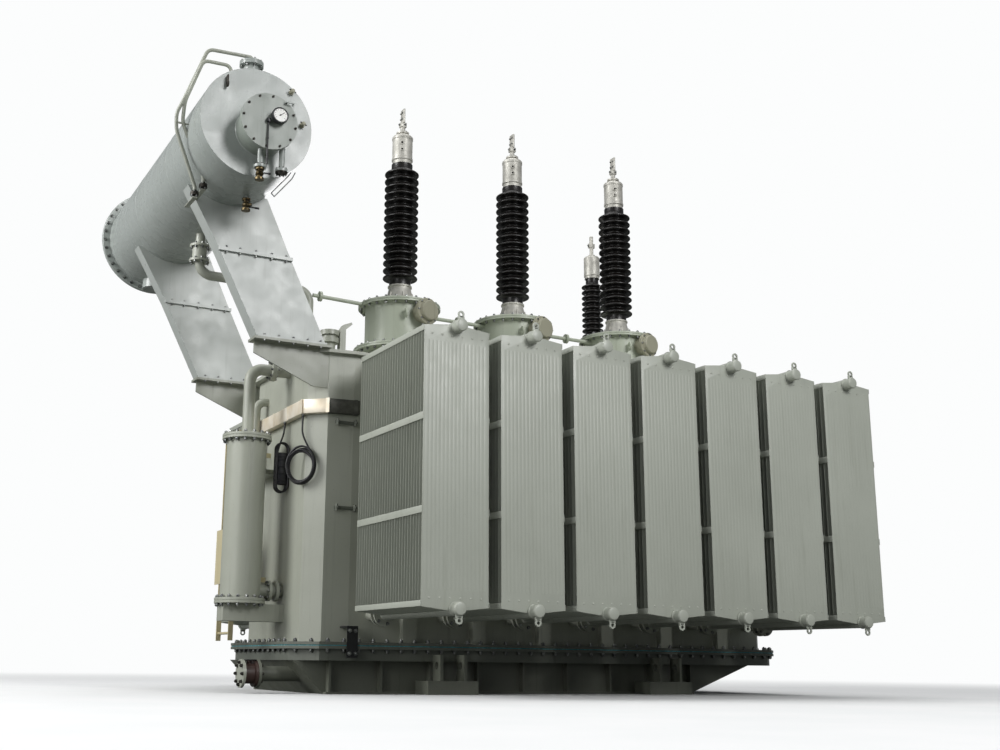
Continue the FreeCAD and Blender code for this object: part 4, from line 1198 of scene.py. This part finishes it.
def makeFilter():
    f = filterSet
    profile = [(0, f["bottom"] - f["plate"])]
    profile += addFlangePair(f["edge"], f["radius"] + 0.006, f["bottom"] - f["plate"], f["plate"])[1:]
    profile += [(f["radius"], f["bottom"] + f["plate"] + 0.006), (f["radius"], f["top"] - f["plate"] - 0.006)]
    profile += addFlangePair(f["edge"], f["radius"] + 0.006, f["top"] - f["plate"], f["plate"])
    profile[-1] = (0, f["top"] + f["plate"])
    vessel = paint(spinProfile(profile, (f["x"], f["y"], 0), alongZ, 64), "grey")
    ring = f["edge"] - 0.020
    spots = []
    for height, axis in ((f["bottom"] + f["plate"], alongZ), (f["bottom"] - f["plate"], -alongZ),
                         (f["top"] + f["plate"], alongZ), (f["top"] - f["plate"], -alongZ)):
        spots.append(boltRing((f["x"], f["y"], height), axis, ring, f["bolts"], f["across"]))
    steel = paint(joinParts("filterBolts", spots), "zinc")
    finishPiece(joinParts("oil_filter_vessel", [vessel, steel]), ["oil_filter"])
    # bolts of the two flanged joints in its pipes
    groups = []
    wall = -tankSet["length"] / 2
    for near, far, z, ring in ((0.130, 0.172, 2.597, 0.070), (0.038, 0.120, 0.787, 0.068)):
        groups.append(boltRing((wall - near, f["y"], z), alongX, ring, 8, 0.018))
        groups.append(boltRing((wall - far, f["y"], z), -alongX, ring, 8, 0.018))
    makeBolts("filter_pipe_bolts", groups)


makeFilter()
print("filter bolted")


# the end of the conservator: manhole bolts, dial, taps and small fittings

endSet = {
    "x": -3.062,
    "z": 4.170,
    "radius": 0.436,
    "face": -1.525,
    "manholeX": -3.036,
    "manholeZ": 4.098,
    "cover": -1.751,
    "manholeBolts": 12,
    "manholeRing": 0.200,
    "dialX": -2.976,
    "dialZ": 4.133,
    "dialRadius": 0.062,
    "dialDepth": 0.070,
    "ticks": 11,
    "needle": 52,                # degrees from upright
    "pipeX": (-3.060, -2.893),
    "pipeY": -1.640,
    "pipeZ": 3.766,
    "cockX": -2.990,
    "cockY": -1.120,
    "conduitX": -3.050,
    "gripZ": 4.262,
    "sampleTaps": ((-2.804, 4.476), (-2.708, 4.226)),
}


def makeDial():
    e = endSet
    x, z, y = e["dialX"], e["dialZ"], e["cover"]
    radius, depth = e["dialRadius"], e["dialDepth"]
    case = spinProfile([(0, 0), (0.044, 0), (0.044, 0.018), (radius - 0.004, 0.026), (radius, 0.032),
                        (radius, depth - 0.006), (radius - 0.003, depth - 0.001), (radius - 0.008, depth),
                        (radius - 0.010, depth - 0.008), (0, depth - 0.008)], (x, y, z), towardsViewer, 48)
    paint(case, "case")
    face = spinProfile([(0, depth - 0.008), (0.051, depth - 0.008), (0.051, depth - 0.0065),
                        (0, depth - 0.0065)],
                       (x, y, z), towardsViewer, 48)
    paint(face, "face")
    marks = []
    level = y - depth + 0.0065
    for index in range(e["ticks"]):
        angle = math.radians(-125 + 250 * index / (e["ticks"] - 1))
        long = index % 5 == 0
        tick = addBlock((-0.0012, -0.0006, 0.034 if long else 0.038), (0.0012, 0, 0.046))
        tick.rotation_euler = (0, angle, 0)
        tick.location = (x, level, z)
        marks.append(paint(bakePlace(tick), "black"))
    needle = addBlock((-0.0022, -0.002, -0.012), (0.0022, -0.001, 0.036))
    needle.rotation_euler = (0, math.radians(e["needle"]), 0)
    needle.location = (x, level, z)
    marks.append(paint(bakePlace(needle), "black"))
    hub = spinProfile([(0, 0), (0.006, 0), (0.006, 0.0025), (0.004, 0.0035), (0, 0.0035)], (x, level, z),
                      towardsViewer, 16)
    marks.append(paint(hub, "black"))
    finishPiece(joinParts("level_gauge", [case, face] + marks), ["level_dial"])


def addLever(start, end, radius):
    # a bar with a rounded grip at its far end
    start = Vector(start)
    end = Vector(end)
    bar = addRod(start, end, radius, 12, radius * 0.3)
    grip = addRod(start.lerp(end, 0.62), end, radius * 1.5, 14, radius * 0.6)
    return [paint(bar, "black"), paint(grip, "black")]


def addTap(x, y, top, foot, turned):
    # a flanged ball valve that hangs on its pipe, lever to one side
    middle = (top + foot) / 2
    high = top - foot
    wide = 0.034
    profile = [(0, 0), (wide, 0), (wide, 0.016), (0.018, 0.020), (0.018, 0.028), (0.027, 0.036),
               (0.031, high / 2), (0.027, high - 0.036), (0.018, high - 0.028), (0.018, high - 0.020),
               (wide, high - 0.016), (wide, high), (0, high)]
    body = paint(spinProfile(profile, (x, y, foot), alongZ, 28), "brass")
    side = Vector((math.sin(turned), -math.cos(turned), 0))
    bonnet = paint(addRod((x, y, middle), Vector((x, y, middle)) + side * 0.046, 0.013, 6, 0.002), "brass")
    bolts = [boltRing((x, y, foot + 0.016), alongZ, wide - 0.008, 4, 0.009, 45),
             boltRing((x, y, top - 0.016), -alongZ, wide - 0.008, 4, 0.009, 45)]
    steel = paint(joinParts("tapBolts", bolts), "iron")
    return [body, bonnet, steel]


def makeEndFittings():
    e = endSet
    heads = [boltRing((e["manholeX"], e["cover"], e["manholeZ"]), towardsViewer, e["manholeRing"],
                      e["manholeBolts"], 0.015, 10)]
    makeBolts("manhole_bolts", heads, "iron")
    # the two drain pipes under the neck: one ends in a tap, the other in a blank
    x, y, z = e["pipeX"][0], e["pipeY"], e["pipeZ"]
    parts = addTap(x, y, z, z - 0.095, -0.6)
    parts += addLever((x + 0.020, y - 0.030, z - 0.048), (x + 0.070, y - 0.050, z - 0.052), 0.006)
    x = e["cockX"]
    bottom = e["z"] - e["radius"]
    lower = addTap(x, e["cockY"], bottom - 0.016, bottom - 0.115, 0.9)
    root = paint(addRod((x, e["cockY"], bottom - 0.018), (x, e["cockY"], bottom + 0.004), 0.020, 24), "pale")
    lower += addLever((x + 0.010, e["cockY"] - 0.005, bottom - 0.079),
                      (x + 0.105, e["cockY"] - 0.005, bottom - 0.079),
                      0.0055)
    finishPiece(joinParts("conservator_taps", parts + lower + [root]), ["conservator_drain_cocks"])
    x, z = e["pipeX"][1], e["pipeZ"]
    blank = paint(spinProfile([(0.020, -0.012), (0.044, -0.012), (0.046, -0.010), (0.046, -0.002), (0.044, 0),
                               (0, 0), (0, -0.012), (0.020, -0.012)], (x, y, z), alongZ, 32), "iron")
    rings = [boltRing((x, y, z - 0.012), -alongZ, 0.035, 8, 0.012),
             boltRing((x, y, z + 0.020), alongZ, 0.035, 8, 0.012),
             boltRing((e["pipeX"][0], y, z + 0.020), alongZ, 0.036, 8, 0.012)]
    steel = paint(joinParts("blankBolts", rings), "iron")
    finishPiece(joinParts("drain_blank", [blank, steel]))
    # gauge cable box and its rod down to the tap
    x, y = e["conduitX"], e["cover"] - 0.014
    box = paint(addBlock((x - 0.016, e["cover"] - 0.030, 4.080), (x + 0.016, e["cover"], 4.112), 0.005),
                "case")
    rod = paint(addRod((x, y, 3.749), (x, y, 4.084), 0.006, 14), "black")
    ties = [paint(addRod((x, y, up), (x, y, up + 0.012), 0.009, 14, 0.001), "case") for up in (3.82, 3.95)]
    finishPiece(joinParts("gauge_conduit", [box, rod] + ties))
    # sample taps on the end plate, a hanging eye and a vent key
    parts = []
    for x, z in e["sampleTaps"]:
        stub = spinProfile([(0, 0), (0.020, 0), (0.020, 0.008), (0.011, 0.010), (0.011, 0.034),
                            (0.016, 0.036),
                            (0.016, 0.048), (0.010, 0.052), (0, 0.052)], (x, e["face"], z), towardsViewer, 20)
        parts.append(paint(stub, "olive"))
        for turn in (-0.026, 0.026):
            handle = addRod((x + turn, e["face"] - 0.040, z - turn * 0.4), (x, e["face"] - 0.040, z), 0.005,
                            10, 0.002)
            parts.append(paint(handle, "iron"))
    eye = spinProfile([(0.010, -0.007), (0.024, -0.007), (0.026, 0), (0.024, 0.007), (0.010, 0.007),
                       (0.010, -0.007)], (-3.313, e["face"] - 0.030, 4.420), alongX, 20)
    shank = addBlock((-3.319, e["face"] - 0.046, 4.440), (-3.307, e["face"], 4.490), 0.003)
    parts += [paint(eye, "iron"), paint(shank, "iron")]
    finishPiece(joinParts("end_plate_fittings", parts))
    y, z = e["cover"], e["gripZ"]
    parts = []
    for x in (-2.925, -2.865):
        parts += [addBlock((x - 0.008, y - 0.006, z - 0.012), (x + 0.008, y, z + 0.010), 0.002),
                  addRod((x, y - 0.003, z), (x, y - 0.030, z), 0.004, 10)]
    parts.append(addRod((-2.928, y - 0.028, z), (-2.862, y - 0.028, z), 0.005, 12, 0.001))
    finishPiece(paint(joinParts("manhole_handle", parts), "pale"))


wireSet = {
    "radius": 0.0042,
    "y": -1.500,
    "corners": ((-2.735, 3.845), (-2.760, 3.790), (-2.893, 3.622), (-2.918, 3.646), (-2.790, 3.806),
                (-2.772, 3.836)),
}


def makeWireLoop():
    # a bent wire pull that hangs from the lower rim of the end plate
    corners = [Vector((x, wireSet["y"], z)) for x, z in wireSet["corners"]]
    rods = []
    for start, end in zip(corners, corners[1:]):
        rods += [addRod(start, end, wireSet["radius"], 10), ballAt(end, wireSet["radius"])]
    finishPiece(paint(joinParts("wire_pull", rods), "zinc"))


def ballAt(place, radius):
    return spinProfile([(0, -radius), (radius * 0.7, -radius * 0.7), (radius, 0),
                        (radius * 0.7, radius * 0.7),
                        (0, radius)], place, alongZ, 10)


def makeEndRing():
    # the far end of the conservator: two plates bolted together, with a fine gap
    e = endSet
    start = 1.525
    profile = [(0, 0), (0.497, 0), (0.500, 0.003), (0.500, 0.019), (0.496, 0.0215), (0.496, 0.0225),
               (0.500, 0.025),
               (0.500, 0.041), (0.497, 0.044), (0, 0.044)]
    plates = paint(spinProfile(profile, (e["x"], start, e["z"]), alongY, 72), "pale")
    rings = [boltRing((e["x"], start, e["z"]), -alongY, 0.474, 36, 0.024),
             boltRing((e["x"], start + 0.044, e["z"]), alongY, 0.474, 36, 0.024)]
    steel = paint(joinParts("endRingBolts", rings), "zinc")
    finishPiece(joinParts("conservator_end_ring", [plates, steel]), ["conservator_end_flange"])


breatherSet = {
    "radius": 0.014,
    "bend": 0.045,
    "tie": 0.008,
    "flange": 0.032,
    "bracketEnd": -0.884,
    "nozzle": (-3.082, -1.380),
    "nozzleLid": (4.724, 4.688),
    "welds": (-0.520, 0.500),    # round the shell, along its axis
    "routes": (((-3.082, -1.380, 4.724), (-3.082, -1.380, 4.774), (-3.426, -1.380, 4.756),
                (-3.562, -1.250, 4.352),
                (-3.594, -1.200, 4.270), (-3.577, -1.160, 4.150), (-3.393, -1.100, 3.745),
                (-3.393, -1.100, 3.690)),
               ((-3.230, -1.380, 4.560), (-3.250, -1.380, 4.662), (-3.457, -1.380, 4.655),
                (-3.547, -1.250, 4.356),
                (-3.542, -1.190, 4.210), (-3.330, -1.100, 3.835), (-3.330, -1.100, 3.765))),
}


def addTube(points, radius, bend, sides=10):
    # straight runs with rounded corners, as a bent steel pipe has
    points = [Vector(p) for p in points]
    path = [points[0]]
    for before, corner, after in zip(points, points[1:], points[2:]):
        into = (corner - before).normalized()
        out = (after - corner).normalized()
        cut = min(bend, (corner - before).length * 0.45, (after - corner).length * 0.45)
        first = corner - into * cut
        last = corner + out * cut
        for step in range(7):
            share = step / 6
            path.append(first.lerp(corner, share).lerp(corner.lerp(last, share), share))
    path.append(points[-1])
    deselectAll()
    bpy.ops.curve.primitive_nurbs_path_add()
    tube = bpy.context.active_object
    tube.data.splines.clear()
    spline = tube.data.splines.new("POLY")
    spline.points.add(len(path) - 1)
    for knot, point in zip(spline.points, path):
        knot.co = (*point, 1)
    tube.data.bevel_depth = radius
    tube.data.bevel_resolution = sides // 2
    tube.data.use_fill_caps = True
    bpy.ops.object.convert(target="MESH")
    return bakePlace(bpy.context.active_object)


def makeBreathers():
    b = breatherSet
    parts = []
    for route in b["routes"]:
        parts.append(paint(addTube(route, b["radius"], b["bend"]), "grey"))
        x, y, z = route[-1]
        pair = spinProfile([(0, -0.030), (0.013, -0.030), (0.013, -0.014), (b["flange"], -0.014),
                            (b["flange"], -0.001),
                            (b["flange"] - 0.002, 0), (b["flange"], 0.001), (b["flange"], 0.014),
                            (0.015, 0.014),
                            (0.015, 0.030), (0, 0.030)], (x, y, z), alongZ, 28)
        parts.append(paint(pair, "iron"))
        for height, axis in ((0.014, alongZ), (-0.014, -alongZ)):
            parts.append(paint(boltRing((x, y, z + height), axis, 0.023, 4, 0.011, 20), "zinc"))
        parts.append(paint(addBlock((x - 0.018, y - 0.020, z - 0.038),
                                    (x + 0.018, b["bracketEnd"], z - 0.029), 0.002),
                           "grey"))
    parts.append(paint(addRod((-3.470, -1.190, 4.200), (-3.580, -1.190, 4.200), b["tie"], 12), "grey"))
    finishPiece(joinParts("breather_tubes", parts), ["breather_pipes"])
    e = endSet
    beads = []
    for y in b["welds"]:
        beads.append(spinProfile([(e["radius"] - 0.004, -0.007), (e["radius"] + 0.0015, -0.003),
                                  (e["radius"] + 0.0015, 0.003), (e["radius"] - 0.004, 0.007),
                                  (e["radius"] - 0.004, -0.007)], (e["x"], y, e["z"]), alongY, 96))
    beads.append(spinProfile([(0.186, -0.006), (0.196, -0.002), (0.186, 0.010), (0.186, -0.006)],
                             (e["manholeX"], e["face"], e["manholeZ"]), towardsViewer, 64))
    finishPiece(paint(joinParts("weld_beads", beads), "pale"))
    top, below = b["nozzleLid"]
    lid = [boltRing((*b["nozzle"], top), alongZ, 0.077, 8, 0.016),
           boltRing((*b["nozzle"], below), -alongZ, 0.077, 8, 0.016)]
    makeBolts("nozzle_bolts", lid)


makeDial()
makeEndFittings()
makeWireLoop()
makeBreathers()
makeEndRing()
print("conservator fitted out")


# bolts of the arms, pipes, valves and drain

frameBoltSet = {
    "armMiddle": 0.810,
    "lip": 0.0875,               # from an arm's middle to its bolted lip
    "across": 0.017,
    # each row: its places, and the seats above and below the lip
    "rows": (((-3.06, -2.95, -2.82, -2.69, -2.57), 3.379, 3.351),
             ((-2.72, -2.60, -2.48, -2.36, -2.25), 2.716, 2.682)),
    "pipeY": -0.120,
    # each ring on the oil pipe: its place and height, its radius, and whether it faces up
    "rings": ((-3.062, 3.633, 0.071, 1), (-3.062, 3.615, 0.071, -1), (-3.062, 3.505, 0.071, 1),
              (-3.062, 3.487, 0.071, -1), (-2.074, 2.718, 0.070, 1)),
}
drainSet = {"y": -0.520, "z": 0.145, "ring": 0.082, "blankX": -2.670, "valveX": -2.525, "wheelX": -2.5975,
            "wheelZ": 0.245}
clipSet = {"places": ((-1.989, -0.858, 2.094), (-1.977, -0.858, 1.415)), "ends": (-0.094, 0.060),
           "barX": (-1.972, -1.923), "barY": -0.993, "barZ": (0.300, 0.470)}


def makeFrameBolts():
    f = frameBoltSet
    groups = []
    for side in (-1, 1):
        lip = side * f["armMiddle"] - f["lip"]
        for places, above, below in f["rows"]:
            for x in places:
                groups.append(addBolt((x, lip, above), alongZ, f["across"]))
                groups.append(addBolt((x, lip, below), -alongZ, f["across"]))
    for x, z, ring, up in f["rings"]:
        groups.append(boltRing((x, f["pipeY"], z), alongZ * up, ring, 8, 0.018))
    makeBolts("arm_and_pipe_bolts", groups)


def makeValveBolts():
    # one flanged valve, copied to each header pipe
    r = radiatorSet
    inner = r["nearest"] - r["neck"]
    rise = r["peak"] - r["headerInset"]
    levels = [r["bottom"] - rise, r["bottom"] + r["finHeight"] + rise]
    rings = []
    for y, axis in ((inner, alongY), (inner - 0.018, -alongY), (inner - 0.064, alongY),
                    (inner - 0.082, -alongY)):
        rings.append(boltRing((0, y, 0), axis, 0.074, 6, 0.020))
    key = joinParts("valveKey", [addRod((0, inner - 0.041, 0.060), (0, inner - 0.041, 0.092), 0.010, 10,
                                        0.002),
                                 addBlock((-0.030, inner - 0.046, 0.088), (0.030, inner - 0.036, 0.098),
                                          0.002)])
    ring = joinParts("valveBolts", rings + [key])
    groups = []
    for index in range(r["count"]):
        x = r["first"] + index * r["pitch"] + r["finWidth"] / 2
        for z in levels:
            groups.append(copyOf(ring, (x, 0, z)))
    far = joinParts("farBolts", groups)
    near = mirrored(far)
    bpy.data.objects.remove(ring)
    makeBolts("radiator_valve_bolts_near", [near])
    makeBolts("radiator_valve_bolts_far", [far])


def makeDrainBolts():
    d = drainSet
    groups = [boltRing((d["blankX"], d["y"], d["z"]), -alongX, d["ring"], 8, 0.022),
              boltRing((d["valveX"], d["y"], d["z"]), alongX, d["ring"], 8, 0.022)]
    makeBolts("drain_bolts", groups, "iron")
    x, y, z = d["wheelX"], d["y"], d["wheelZ"]
    wheel = spinProfile([(0.040, -0.005), (0.050, -0.005), (0.054, 0), (0.050, 0.005), (0.040, 0.005),
                         (0.038, 0), (0.040, -0.005)], (x, y, z), alongZ, 32)
    spokes = [addRod((x - 0.040, y, z), (x + 0.040, y, z), 0.005, 8),
              addRod((x, y - 0.040, z), (x, y + 0.040, z), 0.005, 8)]
    finishPiece(paint(joinParts("drain_handwheel", [wheel] + spokes), "black"))


def makeClips():
    # welded clips on the near corner plate, and the bolts of the ground bar
    parts = []
    for x, y, z in clipSet["places"]:
        parts.append(addBlock((x - 0.100, y - 0.004, z - 0.014), (x + 0.075, y + 0.004, z + 0.014), 0.003))
        for end in clipSet["ends"]:
            parts.append(addBlock((x + end, y - 0.040, z - 0.026), (x + end + 0.012, y + 0.010, z + 0.026),
                                  0.003))
            parts.append(addBolt((x + end + 0.006, y - 0.040, z), towardsViewer, 0.016))
    parts.append(addBlock((-1.640, -0.868, 1.100), (-1.610, -0.846, 1.144), 0.004))
    finishPiece(paint(joinParts("wall_clips", parts), "flange"))
    groups = [addBolt((x, clipSet["barY"], z), towardsViewer, 0.024)
              for x in clipSet["barX"] for z in clipSet["barZ"]]
    makeBolts("ground_bar_bolts", groups)


makeFrameBolts()
makeValveBolts()
makeDrainBolts()
makeClips()
print("bolts and clips added")


# light and floor

lightSet = {
    "key": ((2.5, -16.0, 9.0), 7.0, 1400),
    "side": ((-14.0, 0.5, 8.0), 7.0, 1400),
    "top": ((0.0, 1.0, 15.0), 10.0, 700),
    "fill": ((-13.0, -7.0, 4.0), 6.0, 330),
    "back": ((7.0, 13.0, 8.0), 9.0, 500),
}
floorSet = {"fadeStart": 4, "fadeEnd": 16, "bounce": "6F716E"}


def makeStage():
    for name, (place, size, power) in lightSet.items():
        deselectAll()
        bpy.ops.object.light_add(type="AREA", location=place)
        lamp = bpy.context.active_object
        lamp.name = name + "Light"
        lamp.data.shape = "DISK"
        lamp.data.size = size
        lamp.data.energy = power
        aim = Vector((0, 0, 2)) - Vector(place)
        lamp.rotation_euler = aim.to_track_quat("-Z", "Y").to_euler()
    # the studio wall is white to look at, and lights the object less than it shows
    world = bpy.data.worlds.new("paleStudio")
    world.use_nodes = True
    tree = world.node_tree
    wall = tree.nodes["Background"]
    wall.inputs["Color"].default_value = linearColour("FCFDFD")
    wall.inputs["Strength"].default_value = 1.0
    glow = addNode(tree, "ShaderNodeBackground", None, {"Color": linearColour("EEF2F6"), "Strength": 0.22})
    seen = addNode(tree, "ShaderNodeLightPath").outputs["Is Camera Ray"]
    both = addNode(tree, "ShaderNodeMixShader", None, {0: seen, 1: glow.outputs[0], 2: wall.outputs[0]})
    tree.links.new(both.outputs[0], tree.nodes["World Output"].inputs["Surface"])
    bpy.context.scene.world = world
    bpy.context.scene.view_settings.view_transform = "Standard"
    deselectAll()
    bpy.ops.mesh.primitive_plane_add(size=300, location=(0, 0, -0.001))
    floor = bpy.context.active_object
    floor.name = "floor"
    finishes["floor"] = paleFloor()
    paint(floor, "floor")


def paleFloor():
    # a matt studio floor that fades into the wall, and throws back less light than it shows
    material, tree, shader, place = startMaterial("paleFloor", Roughness=0.9)
    colour = blendColours(tree, noiseAt(tree, place, 0.8, 3), linearColour("F2F2F2"), linearColour("EEEFEF"))
    tree.links.new(colour, shader.inputs["Base Color"])
    dim = addNode(tree, "ShaderNodeBsdfDiffuse", None, {"Color": linearColour(floorSet["bounce"])})
    wall = addNode(tree, "ShaderNodeEmission", None, {"Color": linearColour("FCFDFD"), "Strength": 1.0})
    reach = addNode(tree, "ShaderNodeVectorMath", {"operation": "LENGTH"}, {0: place}).outputs["Value"]
    fade = addNode(tree, "ShaderNodeMapRange", {"interpolation_type": "SMOOTHSTEP"},
                   {"Value": reach, "From Min": floorSet["fadeStart"], "From Max": floorSet["fadeEnd"]})
    faded = addNode(tree, "ShaderNodeMixShader", None,
                    {0: fade.outputs[0], 1: shader.outputs[0], 2: wall.outputs[0]})
    seen = addNode(tree, "ShaderNodeLightPath").outputs["Is Camera Ray"]
    both = addNode(tree, "ShaderNodeMixShader", None, {0: seen, 1: dim.outputs[0], 2: faded.outputs[0]})
    tree.links.new(both.outputs[0], tree.nodes["Material Output"].inputs["Surface"])
    return material


makeStage()

print("stage set")
